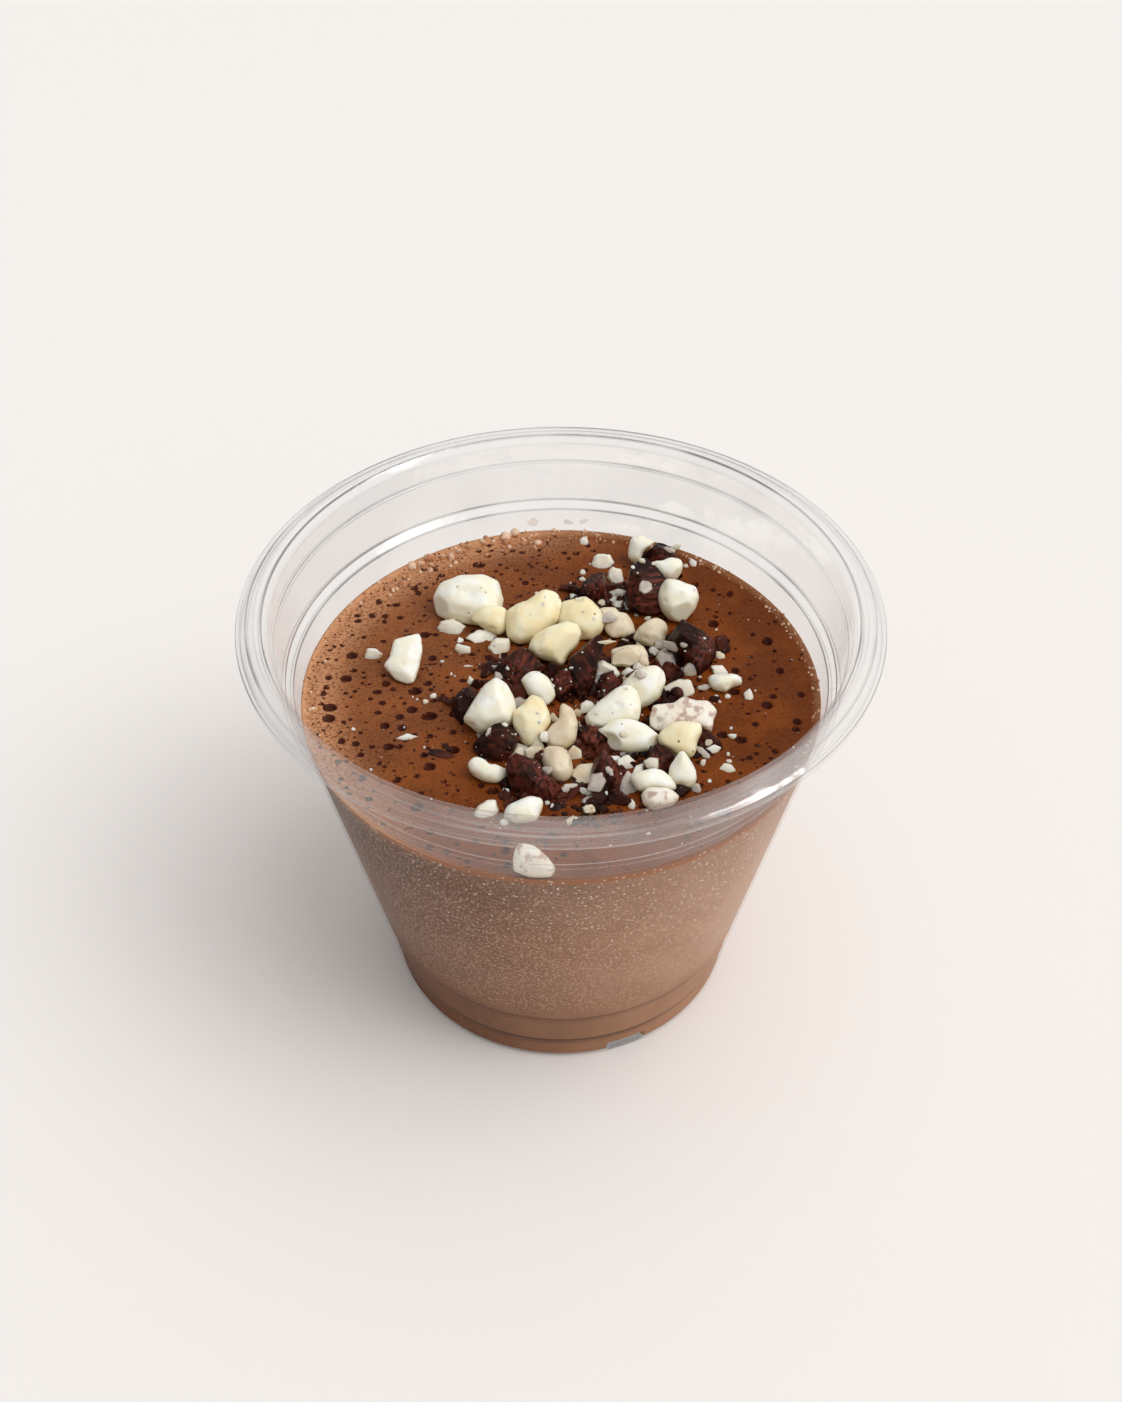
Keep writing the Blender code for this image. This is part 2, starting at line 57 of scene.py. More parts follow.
# ---------------------------------------------------------------- camera
CAMERA_PLACE = (0.0, -178.6, 218.0)
CAMERA_TILT = 47.346  # degrees up from straight down
LENS = 40.0
SENSOR = 36.0
CLOSEST_SEEN = 10.0

# ---------------------------------------------------------------- light
BRIGHT_SIDE = (0.54, 0.06, 0.84)  # the pale surround is brightest towards here
SURROUND = ((0.0, (0.43, 0.43, 0.43, 1.0)), (0.8, (1.0, 0.985, 0.97, 1.0)))
SURROUND_STRENGTH = 0.81
WINDOW_STRENGTH = 3.6  # a small bright patch in the surround, about where the key light comes from
WINDOW_SIDE = (0.69, -0.25, 0.69)
WINDOW_EDGE = (math.cos(math.radians(17)), math.cos(math.radians(9)))
KEY_STRENGTH = 0.95
KEY_SPREAD = 50.0
KEY_DIRECTION = (-1.0, 0.3, -1.7)

# ---------------------------------------------------------------- cup, as in the CAD model
CUP_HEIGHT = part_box("cup")[1].z / MM
RIM_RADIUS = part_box("cup")[1].x / MM
WALL = 0.6
LIP_FALL = 0.9
LIP_SKIRT = 1.2
SKIRT_LEAN = 0.1
LIP_SHOULDER_WIDTH = 0.4
LIP_SHOULDER_FALL = 0.3
LIP_RIDGE_RADIUS = 45.7  # a fine ridge on the lip's top
LIP_RIDGE = 0.45
LIP_ROOT_RADIUS = 43.9
LIP_ROOT_CURVE = ((0.9, 0.1), (0.2, 0.4))
COLLAR_TOP_RADIUS = 43.4
COLLAR_TOP_FALL = 1.4
COLLAR_BEAD_HEIGHT = 69.2
COLLAR_BEAD_RADIUS = 42.9
COLLAR_BEAD_OUT = 0.15
COLLAR_BEAD_IN = 0.1
COLLAR_BEAD_HALF = 0.14
COLLAR_FOOT_HEIGHT = 62.0
COLLAR_FOOT_RADIUS = 42.2
LEDGE_HEIGHT = 60.7
LEDGE_RADIUS = 41.0
STEP_HEIGHT = 13.3
STEP_RADIUS = 31.4
STEP_DEPTH = 0.5
BAND_HEIGHT = 5.6
BAND_RADIUS = 29.9
GROOVE_DEPTH = 0.8
FOOT_RADIUS = 29.2
FOOT_CORNER = 0.7
STANDING_RING_INSIDE = 23.0
PANEL_RADIUS = 21.5
PANEL_RISE = 1.6
NOTCH_COUNT = 3
NOTCH_TURN = -68.0
NOTCH_WIDTH = 6.0
NOTCH_HEIGHT = 1.8
NOTCH_DEPTH = 1.5
NOTCH_EDGE = 0.5

CUP_STEPS = 240
CORNER_STEPS = 3
CORNER_REACH = 0.24
LIP_SHEEN = 0.13  # the lip and the collar gleam all over this much: painted reflection
UNDERSIDE_SHARE = 0.35  # painted lines of the outer side show this much as clearly
NOTCH_SHADE = 0.4  # painted shade: how dark the notches in the foot look
NOTCH_OUTER_SHARE = 0.3  # the outer side is pressed in less than the mousse behind it
RIGHT_SHEEN = 1.6  # painted reflection: the front of the collar gleams this much more at the right, where the light comes from
FRONT_SHARES = {"shade": 0.15, "gleam": 0.8}  # the painted dark and bright lines show this much as clearly at the front
FRONT_TO_BACK = (-38.0, -14.0)

# ---------------------------------------------------------------- mousse
MOUSSE_LEVEL = 56.5
MENISCUS_RISE = 0.5
MENISCUS_WIDTH = 1.4
REACH_INTO_WALL = 0.2
EDGE_LINE = 1.4  # width of the paler line along the wall
MOUSSE_CELLS = 276
SWELL = 0.16  # height of the slow unevenness of the surface
RIPPLE = 0.05
PIT_DEPTH = 0.75  # as a share of a pit's radius
PIT_RIM = 0.06
PIT_COUNT = 620
SPECKLE_FADE = 4.0
SNAP = 0.17  # the mesh is drawn to a pit's outline from this far

# The largest pits left by burst bubbles: x, y, width and length.
PITS = (
    (-33.0, 7.2, 1.9, 1.7), (-33.4, 1.7, 1.9, 1.6), (-37.3, 3.6, 1.7, 2.1), (-36.3, -0.3, 1.1, 1.1),
    (-22.5, -1.0, 2.2, 1.8), (-28.3, -1.3, 1.5, 1.1), (-27.1, 0.6, 1.4, 1.4), (-22.7, -5.3, 1.7, 1.6),
    (-20.0, -6.7, 2.6, 1.8), (-24.4, -6.9, 1.4, 1.3), (-27.8, -6.0, 1.2, 0.9), (-26.5, -8.9, 1.5, 1.5),
    (-23.9, -9.3, 1.5, 1.5), (-35.1, -7.3, 2.0, 1.8), (-37.4, -7.1, 1.1, 1.3), (-32.7, -12.1, 1.3, 1.3),
    (-25.6, -13.4, 1.8, 1.5), (-24.0, -13.4, 1.2, 1.1), (-16.0, -14.0, 2.1, 1.7), (-16.2, -10.2, 1.2, 1.1),
    (-20.3, 6.7, 1.4, 1.4), (-11.4, 6.7, 1.4, 1.4), (-29.9, 20.7, 1.2, 1.6), (-30.7, 17.1, 1.3, 1.3),
    (-24.4, 24.4, 1.3, 1.3), (-23.7, 23.1, 1.3, 1.3), (32.9, 10.8, 1.8, 2.2), (31.4, -4.4, 1.8, 1.8),
    (34.2, 3.6, 1.3, 1.6), (24.6, 15.1, 1.9, 1.8), (35.6, -8.0, 1.4, 1.5), (36.9, -1.9, 1.2, 1.4),
    (27.2, 3.6, 1.3, 1.6), (24.1, -10.8, 1.8, 1.5), (29.2, -8.6, 1.1, 1.1), (27.9, 22.8, 1.2, 1.6),
)

# ---------------------------------------------------------------- toppings
LAYOUT_LEVEL = MOUSSE_LEVEL + 1.0  # small toppings are placed on this plane, as the camera sees it
NUT_VOXEL = 0.22
CHOCOLATE_VOXEL = 0.22
CUT_REACH = 4.0
HEAP_CENTRE = (4.0, -1.0)
HEAP_SPREAD = (13.0, 17.0)


# Small pieces of nut: x, y, width and length on the layout plane, and a turn in degrees.
IVORY_CHIPS = (
    (-12.3, 10.6, 4.0, 3.4, -5), (-9.6, 8.0, 3.0, 4.4, -20), (-16.0, 9.8, 0.8, 1.2, 0),
    (-15.4, 7.2, 2.2, 2.5, -30), (-14.6, 3.6, 1.4, 0.6, 0), (-12.0, 4.0, 1.2, 0.6, 0),
    (-29.4, 5.8, 2.2, 3.5, 0), (-22.8, -12.4, 2.4, 1.3, 8), (-19.5, -3.4, 1.0, 1.1, 20),
    (6.9, 29.7, 3.1, 3.8, 10), (9.0, 25.8, 2.2, 4.8, 12), (9.2, 21.5, 2.3, 2.6, 20),
    (3.6, 27.3, 0.9, 1.4, 0), (3.6, 25.4, 0.9, 1.2, 0), (19.4, 34.2, 1.8, 1.4, 25),
    (22.2, 29.6, 1.0, 2.6, 15), (3.8, 35.6, 1.2, 2.3, 0), (14.0, 15.2, 0.9, 1.4, 40),
    (12.2, 16.2, 0.6, 0.9, 0), (6.8, 2.2, 3.6, 5.0, -15), (10.5, 2.0, 1.8, 2.0, 30),
    (24.6, 2.4, 2.5, 2.4, 0), (25.4, -3.4, 0.8, 1.1, 0), (24.1, -4.6, 0.5, 0.8, 0),
    (28.6, -3.3, 1.4, 2.8, 10), (25.4, -12.2, 1.1, 1.3, 0), (22.0, -15.2, 2.7, 1.7, 20),
    (20.6, -17.8, 0.7, 2.0, -20), (24.5, -16.0, 0.5, 0.9, 0), (24.5, -17.4, 0.7, 0.9, 0),
    (24.2, -18.9, 1.9, 1.6, 0), (21.4, -21.4, 0.6, 0.8, 0), (13.2, -17.8, 2.2, 2.2, -15),
    (-1.2, -26.8, 0.7, 2.0, 0), (10.0, -26.3, 1.0, 2.4, 0), (-2.0, -25.8, 0.8, 0.9, 0),
    (3.7, -25.8, 0.9, 1.0, 0), (6.3, -24.0, 0.8, 1.2, 0), (-8.4, -9.6, 0.9, 1.0, 0),
    (-7.9, -29.6, 1.2, 1.4, 0), (13.6, 30.4, 1.0, 1.5, 0), (4.0, -6.2, 1.8, 2.8, -30),
    (9.4, -18.0, 2.4, 2.8, 20), (12.0, 3.6, 1.8, 2.0, 0), (-2.4, -12.4, 1.4, 2.2, 0),
)
TAN_CHIPS = (
    (9.0, 19.2, 2.2, 1.1, 0), (7.0, 9.4, 2.6, 0.9, 8), (10.2, 9.8, 1.2, 1.0, 0),
    (14.8, 7.4, 2.4, 1.6, -10), (3.0, -20.3, 3.7, 4.4, 10), (-1.0, -8.8, 2.0, 3.6, 10),
    (2.4, -7.2, 1.5, 2.0, 0), (3.3, -9.6, 1.3, 2.0, 0), (-4.0, -15.6, 2.2, 2.8, 0),
    (-6.6, -5.4, 1.2, 1.0, 0), (25.0, 6.0, 1.5, 1.8, -20), (-20.6, -4.6, 0.8, 1.0, 0),
    (20.9, 29.0, 0.8, 1.0, 0), (16.2, 1.6, 1.6, 1.4, 0), (9.2, -11.6, 1.0, 1.2, 0),
    (10.3, 5.8, 4.2, 4.0, 15), (-6.3, -15.5, 2.6, 2.8, 0),
)
GREY_CHIPS = (
    (16.4, 4.7, 3.2, 3.8, -20), (15.5, 8.7, 1.9, 2.0, 0), (7.7, 15.3, 2.2, 2.6, 10),
    (19.7, 2.6, 2.0, 2.0, 0), (12.4, 1.6, 1.4, 2.2, 30),
    (14.0, 23.3, 1.7, 3.0, -15), (18.4, 33.4, 1.6, 1.3, -20), (16.8, 5.0, 3.0, 3.0, 10),
    (17.8, 8.3, 3.2, 2.6, -10), (19.4, 8.6, 1.0, 1.2, 0), (20.2, 2.9, 2.4, 2.8, 20),
    (21.8, -1.4, 2.2, 1.4, 20), (19.3, -23.0, 1.3, 1.8, 0), (9.9, -15.8, 3.0, 2.2, 15),
    (1.6, -23.2, 3.4, 2.0, 10), (-6.3, -15.0, 2.5, 2.4, -20), (-12.2, -12.0, 0.9, 0.9, 0),
    (-10.8, -11.2, 0.6, 1.6, -25), (-2.2, -19.4, 1.5, 1.6, 0), (7.0, -19.4, 0.8, 1.9, 25),
)
DARK_CHIPS = (
    (-6.7, -2.6, 3.0, 3.8, 10), (17.4, 1.4, 3.0, 3.2, -20), (22.2, -13.1, 4.2, 2.4, -35),
    (1.0, 23.0, 2.4, 2.0, 0), (4.4, 20.8, 6.6, 1.8, -32), (25.4, 8.4, 2.2, 4.8, 10),
    (9.7, 4.5, 3.4, 2.6, -10), (17.2, -23.4, 2.1, 2.4, 0), (3.2, 20.0, 2.6, 2.2, 0),
    (5.0, 11.5, 2.2, 2.0, 10), (3.0, -22.9, 1.4, 2.2, 0), (20.3, -12.2, 1.6, 2.4, 0),
    (-17.0, -4.8, 1.4, 1.6, 0), (-17.9, -3.9, 1.5, 1.6, 20), (12.8, 18.4, 1.8, 1.8, 0),
    (22.4, 7.6, 1.6, 3.0, 0), (26.0, 9.6, 1.4, 2.0, 0), (23.4, -4.0, 1.4, 1.4, 0),
    (-13.0, -1.0, 1.8, 2.2, 20), (-6.4, 11.3, 2.0, 2.2, 0), (13.0, -11.0, 1.6, 1.8, 0),
    # These larger chips lie low in the heap's gaps: chocolate, and also painted shade there.
    (-1.0, 1.5, 3.0, 5.0, 0), (7.8, -2.2, 3.6, 4.6, -20), (6.6, 4.2, 2.6, 3.4, 0), (7.0, 0.2, 3.0, 3.0, 30),
    (12.6, 6.8, 3.0, 2.4, 0), (19.8, 5.6, 3.4, 4.4, 0), (-3.4, -1.6, 2.2, 3.4, 0), (4.4, -9.4, 2.6, 3.2, 0),
    (5.4, -24.6, 2.2, 3.0, 0), (11.0, -22.4, 1.8, 2.0, 0), (8.4, -25.4, 2.6, 2.0, 0),
)

# Thin smears of mousse on the inside of the wall, and a flat dark one on the mousse.
WALL_SMEARS = ((-4.9, 41.5, 1.8, 2.4, 10), (1.2, 41.5, 2.0, 1.0, 0), (3.8, 41.8, 1.6, 0.9, 20))
DARK_SMEARS = ((-18.7, -15.4, 5.5, 1.7, -22), (-16.6, -14.4, 2.0, 1.2, -30))
BALLS = ((17.6, -3.4, 2.3),)

# Small pieces of nut whose outline shows clearly, drawn on the layout plane.
OUTLINED_CHIPS = (
    ("ivory", ((-19.8, 12.6), (-19.4, 14.6), (-17.6, 15.3), (-16.2, 14.2), (-15.1, 13.3),
               (-16.0, 11.2), (-16.6, 9.7), (-18.7, 10.6))),
    ("ivory", ((-12.0, -26.6), (-10.4, -25.1), (-9.3, -25.2), (-8.8, -27.2), (-9.2, -29.0),
               (-11.2, -29.4), (-12.4, -28.2))),
    ("tan", ((-4.1, -10.9), (-3.0, -13.0), (-2.1, -15.4), (-2.2, -17.8), (-3.4, -17.6),
             (-4.2, -15.6), (-4.5, -13.2))),
    ("tan", ((0.9, -15.4), (1.8, -13.9), (3.0, -15.0), (3.2, -17.0), (1.6, -18.4), (0.8, -17.0))),
    ("ivory", ((6.8, -16.2), (8.4, -16.2), (10.1, -17.8), (8.8, -19.5), (7.6, -18.2))),
    ("grey", ((8.0, -24.6), (8.6, -21.4), (9.6, -19.2), (10.6, -20.4), (11.4, -23.0),
              (10.4, -24.8))),
    ("grey", ((3.6, -23.4), (4.4, -20.0), (6.0, -19.6), (6.6, -21.4), (5.6, -23.8))),
    ("ivory", ((15.7, -1.2), (17.9, 0.5), (20.0, 0.6), (20.5, -2.6), (19.5, -4.2), (16.2, -4.4),
               (15.4, -2.8))),
    ("ivory", ((-14.2, 1.6), (-13.4, 0.4), (-13.2, -0.9), (-13.9, -1.4), (-14.5, -0.4))),
)

# Where dark crumbs fill the heap between its large pieces, as chocolate bits and also as painted shade in the gaps:
# x, y and radius.
DARK_BEDS = (
    (2.0, 0.0, 6.0), (12.5, 5.0, 6.5), (14.0, -3.0, 5.0), (8.5, -12.0, 6.0), (2.0, -18.0, 6.5),
    (12.5, -20.0, 5.5), (-7.0, -8.0, 5.0), (-9.0, 3.0, 3.5), (-5.0, -22.0, 4.0), (18.0, 8.0, 5.0),
    (11.0, 22.0, 4.0), (5.0, 21.0, 4.0), (18.5, -13.0, 4.0), (4.0, -25.0, 5.0),
)
CHIP_GROWTH = 1.2
SHARP_ANGLE = math.radians(32)
BED_CRUMBS = 640
BED_CHIPS = 160  # a chance mix of dark and pale chips over the same beds
BED_CHIP_SIZES = (1.0, 2.6)
PALE_SHARE = 0.42
PALE_CRUMBS = 330
BROWN_CRUMBS = 240

BUBBLE_REACH = 40.3
# Bubbles by the wall: how many, from which turn to which in degrees, how far in, and their sizes.
BUBBLE_BANDS = (
    (260, -40, 75, 1.8, (0.25, 0.65)),
    (60, 75, 100, 2.5, (0.3, 0.8)),
    (90, 96, 150, 5.0, (0.5, 1.7)),
    (60, 150, 205, 3.0, (0.25, 0.7)),
)


# ---------------------------------------------------------------- helpers for shapes
def mesh_from(name, points, faces):
    """A smooth-shaded mesh in metres from points in millimetres."""
    mesh = bpy.data.meshes.new(name)
    mesh.from_pydata((np.asarray(points) * MM).tolist(), [], faces)
    mesh.shade_smooth()
    return mesh


def new_piece(name, mesh, slot, *finishes):
    """A piece of the object that rides on the cup's body and takes the finishes given; the slot is not used."""
    piece = bpy.data.objects.new(name, mesh)
    bpy.context.scene.collection.objects.link(piece)
    for finish in finishes:
        mesh.materials.append(finish)
    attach(piece, "root")
    return piece


def points_of(mesh):
    """The mesh's points in millimetres."""
    values = np.empty(len(mesh.vertices) * 3)
    mesh.vertices.foreach_get("co", values)
    return values.reshape(-1, 3) / MM


def normals_of(mesh):
    """The direction each point of the mesh faces."""
    values = np.empty(len(mesh.vertices) * 3)
    mesh.vertex_normals.foreach_get("vector", values)
    return values.reshape(-1, 3)


def move_points(mesh, points):
    """Give the mesh new points, in millimetres."""
    mesh.vertices.foreach_set("co", (points * MM).ravel())
    mesh.update()


def lumps(points, size, seed):
    """Smooth noise, about -1 to 1, at each point, whose lumps are about that size."""
    shift = Vector((seed * 7.13, seed * 3.71, seed * 5.37))
    return np.array([noise.noise(Vector(point) + shift) for point in points / size])


def smooth_step(low, high, value):
    """0 up to low, 1 from high, and an even curve between them."""
    share = np.clip((value - low) / (high - low), 0.0, 1.0)
    return share * share * (3 - 2 * share)


def any_direction(chance):
    """A unit vector in a random direction."""
    vector = np.array([chance.gauss(0, 1) for axis in range(3)])
    return vector / np.linalg.norm(vector)


# ---------------------------------------------------------------- materials
def srgb(red, green, blue):
    """A colour as it looks on a screen, from 0 to 255, in the linear values that shaders use."""
    made = []
    for value in (red, green, blue):
        share = value / 255
        made.append(share / 12.92 if share <= 0.04045 else ((share + 0.055) / 1.055) ** 2.4)
    return (*made, 1.0)


class Finish:
    """A material. Each call adds a node and returns the output that later calls read."""

    def __init__(self, name, **values):
        self.material = bpy.data.materials.new(name)
        self.material.use_nodes = True
        self.tree = self.material.node_tree
        self.shader = self.tree.nodes["Principled BSDF"]
        for socket, value in values.items():
            self.shader.inputs[socket.replace("_", " ")].default_value = value
        self.place = self.add("ShaderNodeTexCoord", {}, "Object")

    def add(self, kind, inputs, output=0, **settings):
        """A node with its settings and inputs, which are values or other nodes' outputs."""
        node = self.tree.nodes.new(kind)
        for setting, value in settings.items():
            setattr(node, setting, value)
        for socket, value in inputs.items():
            self.put(node, socket, value)
        return node.outputs[output]

    def put(self, node, socket, value):
        """Set one input of a node, or join it to another node's output."""
        if isinstance(value, bpy.types.NodeSocket):
            self.tree.links.new(value, node.inputs[socket])
        else:
            node.inputs[socket].default_value = value

    def stretched(self, *scales):
        """The place, scaled along each axis."""
        return self.add("ShaderNodeMapping", {"Vector": self.place, "Scale": scales})

    def noise(self, size, detail=3.0, place=None):
        """Noise whose lumps are about that many millimetres."""
        inputs = {"Vector": place or self.place, "Scale": 1 / (size * MM), "Detail": detail}
        return self.add("ShaderNodeTexNoise", inputs, "Fac")

    def cells(self, size):
        """The distance to the nearest of scattered points that are about size apart."""
        return self.add("ShaderNodeTexVoronoi", {"Vector": self.place, "Scale": 1 / (size * MM)})

    def attribute(self, name):
        """A value that the mesh stores at each point."""
        return self.add("ShaderNodeAttribute", {}, "Fac", attribute_name=name)

    def between(self, value, low, high):
        """0 where the value is low, 1 where it is high."""
        inputs = {"Value": value, "From Min": low, "From Max": high}
        return self.add("ShaderNodeMapRange", inputs, interpolation_type="SMOOTHSTEP")

    def math(self, operation, first, second):
        """Two values in one sum."""
        return self.add("ShaderNodeMath", {0: first, 1: second}, operation=operation)

    def mix(self, share, first, second):
        """A colour between two."""
        return self.add("ShaderNodeMix", {0: share, 6: first, 7: second}, 2, data_type="RGBA")

    def bump(self, height, depth, normal=None):
        """A normal that shows relief of that depth."""
        inputs = {"Height": height, "Distance": depth * MM}
        if normal is not None:
            inputs["Normal"] = normal
        return self.add("ShaderNodeBump", inputs)

    def use(self, **links):
        """Join outputs to the shader's sockets."""
        for socket, value in links.items():
            self.put(self.shader, socket.replace("_", " "), value)
        return self.material


def clear_plastic():
    """Thin clear plastic: it mirrors and darkens where it is seen edge on, and along its bends it darkens as painted
    shade and mirrors more as painted gleam.
    """
    finish = Finish("clear plastic")
    tree = finish.tree
    tree.nodes.remove(finish.shader)
    facing = finish.add("ShaderNodeLayerWeight", {"Blend": 0.5}, "Facing")
    uneven = finish.math("ADD", finish.between(finish.noise(16.0, 1.0), 0.36, 0.62), 0.6)
    # gleam is painted reflection and shade is painted shade, both stored in the cup's mesh
    gleam = finish.math("MULTIPLY", finish.attribute("gleam"), uneven)
    shade = finish.math("MULTIPLY", finish.attribute("shade"), uneven)
    height = finish.add("ShaderNodeSeparateXYZ", {0: finish.place}, "Z")
    # The edge-on mirror and grey are weaker towards the foot: a painted, weaker reflection low down.
    bare = finish.math("ADD", finish.between(height, STEP_HEIGHT * MM, 2 * STEP_HEIGHT * MM), 0.4)
    mirror = finish.math("MULTIPLY", finish.math("POWER", facing, 4.6), finish.math("MULTIPLY", bare, 0.25))
    mirror = finish.math("ADD", mirror, finish.math("MULTIPLY", gleam, 0.36))
    mirror = finish.math("ADD", mirror, 0.02)
    grey = finish.math("MULTIPLY", finish.math("POWER", facing, 4.0), bare)
    tint = finish.mix(grey, (0.985, 0.985, 0.985, 1.0), (0.95, 0.95, 0.955, 1.0))
    tint = finish.mix(finish.math("MULTIPLY", shade, 0.75), tint, (0.08, 0.09, 0.11, 1.0))
    clear = finish.add("ShaderNodeBsdfTransparent", {"Color": tint})
    normal = finish.bump(finish.noise(5.0, 1.0), 0.2)
    normal = finish.bump(finish.noise(1.8, 1.0), 0.04, normal)
    inputs = {"Color": (1.0, 1.0, 1.0, 1.0), "Roughness": 0.06, "Normal": normal}
    gloss = finish.add("ShaderNodeBsdfAnisotropic", inputs)
    both = finish.add("ShaderNodeMixShader", {0: mirror, 1: clear, 2: gloss})
    tree.links.new(both, tree.nodes["Material Output"].inputs["Surface"])
    return finish.material


def mousse_top():
    """Glossy brown mousse, darker in its pits as painted shade, paler where it is foamy and at the left as painted
    light, and orange by the wall.
    """
    finish = Finish("mousse", Roughness=0.34, Specular_IOR_Level=0.1)
    broad = finish.between(finish.noise(6.0), 0.35, 0.68)
    fine = finish.between(finish.noise(0.4, 4.0), 0.35, 0.7)
    colour = finish.mix(broad, srgb(96, 43, 8), srgb(120, 58, 14))
    colour = finish.mix(finish.math("MULTIPLY", fine, 0.3), colour, srgb(150, 82, 32))
    # This is real foam and also painted light: the left is painted paler, as if lit more.
    foam_and_light = finish.attribute("foam_and_light")
    froth = finish.math("MULTIPLY", foam_and_light, finish.between(finish.noise(0.5, 3.0), 0.2, 0.62))
    colour = finish.mix(finish.math("MULTIPLY", froth, 0.85), colour, srgb(204, 148, 108))
    colour = finish.mix(finish.math("MULTIPLY", finish.attribute("glaze"), 0.6), colour, srgb(112, 52, 8))
    border = finish.math("MULTIPLY", finish.attribute("edge"), finish.math("ADD", finish.math("MULTIPLY", foam_and_light, 0.4), 0.4))
    colour = finish.mix(border, colour, srgb(206, 152, 112))
    # Painted shade: the pits and the tiny pit-like spots are darkened, the spots most where it is foamy.
    patches = finish.math("ADD", finish.between(finish.noise(3.0, 1.0), 0.5, 0.62), foam_and_light)
    spots = finish.math("MULTIPLY", finish.between(finish.cells(1.0), 0.2, 0.14), patches)
    pits = finish.math("MAXIMUM", finish.attribute("pit"), spots)
    colour = finish.mix(finish.math("MULTIPLY", pits, 0.92), colour, srgb(56, 14, 5))
    normal = finish.bump(finish.noise(0.3, 2.0), 0.05)
    normal = finish.bump(finish.math("MULTIPLY", spots, -1.0), 0.15, normal)
    return finish.use(Base_Color=colour, Normal=normal)


def bubble_film():
    """Thin glossy mousse stretched over a bubble, painted paler than the mousse partly as its highlight."""
    finish = Finish("bubble film", Roughness=0.12, Specular_IOR_Level=0.5)
    shade = finish.between(finish.noise(2.0, 1.0), 0.4, 0.6)
    colour = finish.mix(shade, srgb(180, 122, 82), srgb(230, 196, 166))
    return finish.use(Base_Color=colour)


def mousse_side():
    """Mousse pressed against the wall: finely speckled, painted lighter at the right and darker at the left as light
    from the right, and with painted shade under the cup's steps.
    """
    finish = Finish("mousse at the wall", Roughness=0.6, Specular_IOR_Level=0.1)
    broad = finish.between(finish.noise(7.0), 0.3, 0.7)
    # Painted light: the side is lighter towards the right, where the light comes from, and darker at the left.
    across = finish.add("ShaderNodeSeparateXYZ", {0: finish.place}, "X")
    painted_light_rightward = finish.between(across, -36.0 * MM, 36.0 * MM)
    left = finish.mix(broad, srgb(96, 52, 24), srgb(108, 61, 31))
    right = finish.mix(broad, srgb(168, 123, 91), srgb(178, 133, 101))
    colour = finish.mix(painted_light_rightward, left, right)
    height = finish.add("ShaderNodeSeparateXYZ", {0: finish.place}, "Z")
    above = finish.between(height, STEP_HEIGHT * MM, (STEP_HEIGHT + SPECKLE_FADE) * MM)
    grain = finish.between(finish.noise(0.4, 2.0), 0.5, 0.6)
    speckle = finish.math("MULTIPLY", grain, finish.math("ADD", finish.math("MULTIPLY", above, 0.36), 0.1))
    colour = finish.mix(speckle, colour, srgb(206, 160, 126))
    bright = finish.math("MULTIPLY", finish.between(finish.cells(1.6), 0.11, 0.06), above)
    colour = finish.mix(finish.math("MULTIPLY", bright, 0.25), colour, srgb(240, 214, 188))
    rim = finish.between(height, (MOUSSE_LEVEL - 0.9) * MM, (MOUSSE_LEVEL - 0.3) * MM)
    colour = finish.mix(rim, colour, srgb(170, 102, 54))
    # Pale bubbles by the wall at the right, painted near white partly as their highlights.
    bubbles = finish.math("MULTIPLY", finish.between(finish.cells(0.9), 0.23, 0.14), finish.attribute("edge"))
    colour = finish.mix(finish.math("MULTIPLY", bubbles, 0.8), colour, srgb(250, 236, 222))
    # Painted shade: darker just under the step and under the band.
    for top, depth, strength in ((STEP_HEIGHT - 0.2, 2.4, 0.45), (BAND_HEIGHT - 0.1, 2.6, 0.9)):
        start = finish.between(height, top * MM, (top - 0.3) * MM)
        fade = finish.between(height, (top - depth) * MM, (top - 0.3) * MM)
        shade = finish.math("MULTIPLY", finish.math("MULTIPLY", start, fade), strength)
        colour = finish.mix(shade, colour, srgb(66, 32, 14))
    return finish.use(Base_Color=colour)


def nut(name, pale, deep, specks=0.5, stains=0.0):
    """Waxy chopped nut with a few brown specks, reddish stains where chocolate has rubbed off, and painted shade
    where it faces sideways or down.
    """
    finish = Finish(name, Roughness=0.36, Subsurface_Weight=0.6, Subsurface_Scale=1.2 * MM)
    finish.shader.inputs["Subsurface Radius"].default_value = (1.0, 0.85, 0.6)
    broad = finish.between(finish.noise(2.6, 2.0), 0.35, 0.65)
    colour = finish.mix(finish.math("MULTIPLY", broad, 0.7), pale, deep)
    # Painted shade: parts that face sideways or down are deeper and yellower.
    facing = finish.add("ShaderNodeNewGeometry", {}, "Normal")
    upward = finish.add("ShaderNodeSeparateXYZ", {0: facing}, "Z")
    low = finish.mix(0.5, deep, srgb(196, 180, 128))
    colour = finish.mix(finish.math("MULTIPLY", finish.between(upward, 0.7, -0.2), 0.9), colour, low)
    if stains:
        rubbed = finish.between(finish.noise(1.5, 4.0), 0.5, 0.66)
        colour = finish.mix(finish.math("MULTIPLY", rubbed, stains), colour, srgb(150, 84, 60))
    spots = finish.between(finish.cells(3.0), 0.09, 0.05)
    colour = finish.mix(finish.math("MULTIPLY", spots, specks), colour, srgb(120, 62, 20))
    normal = finish.bump(finish.noise(0.8, 2.0), 0.03)
    return finish.use(Base_Color=colour, Normal=normal)


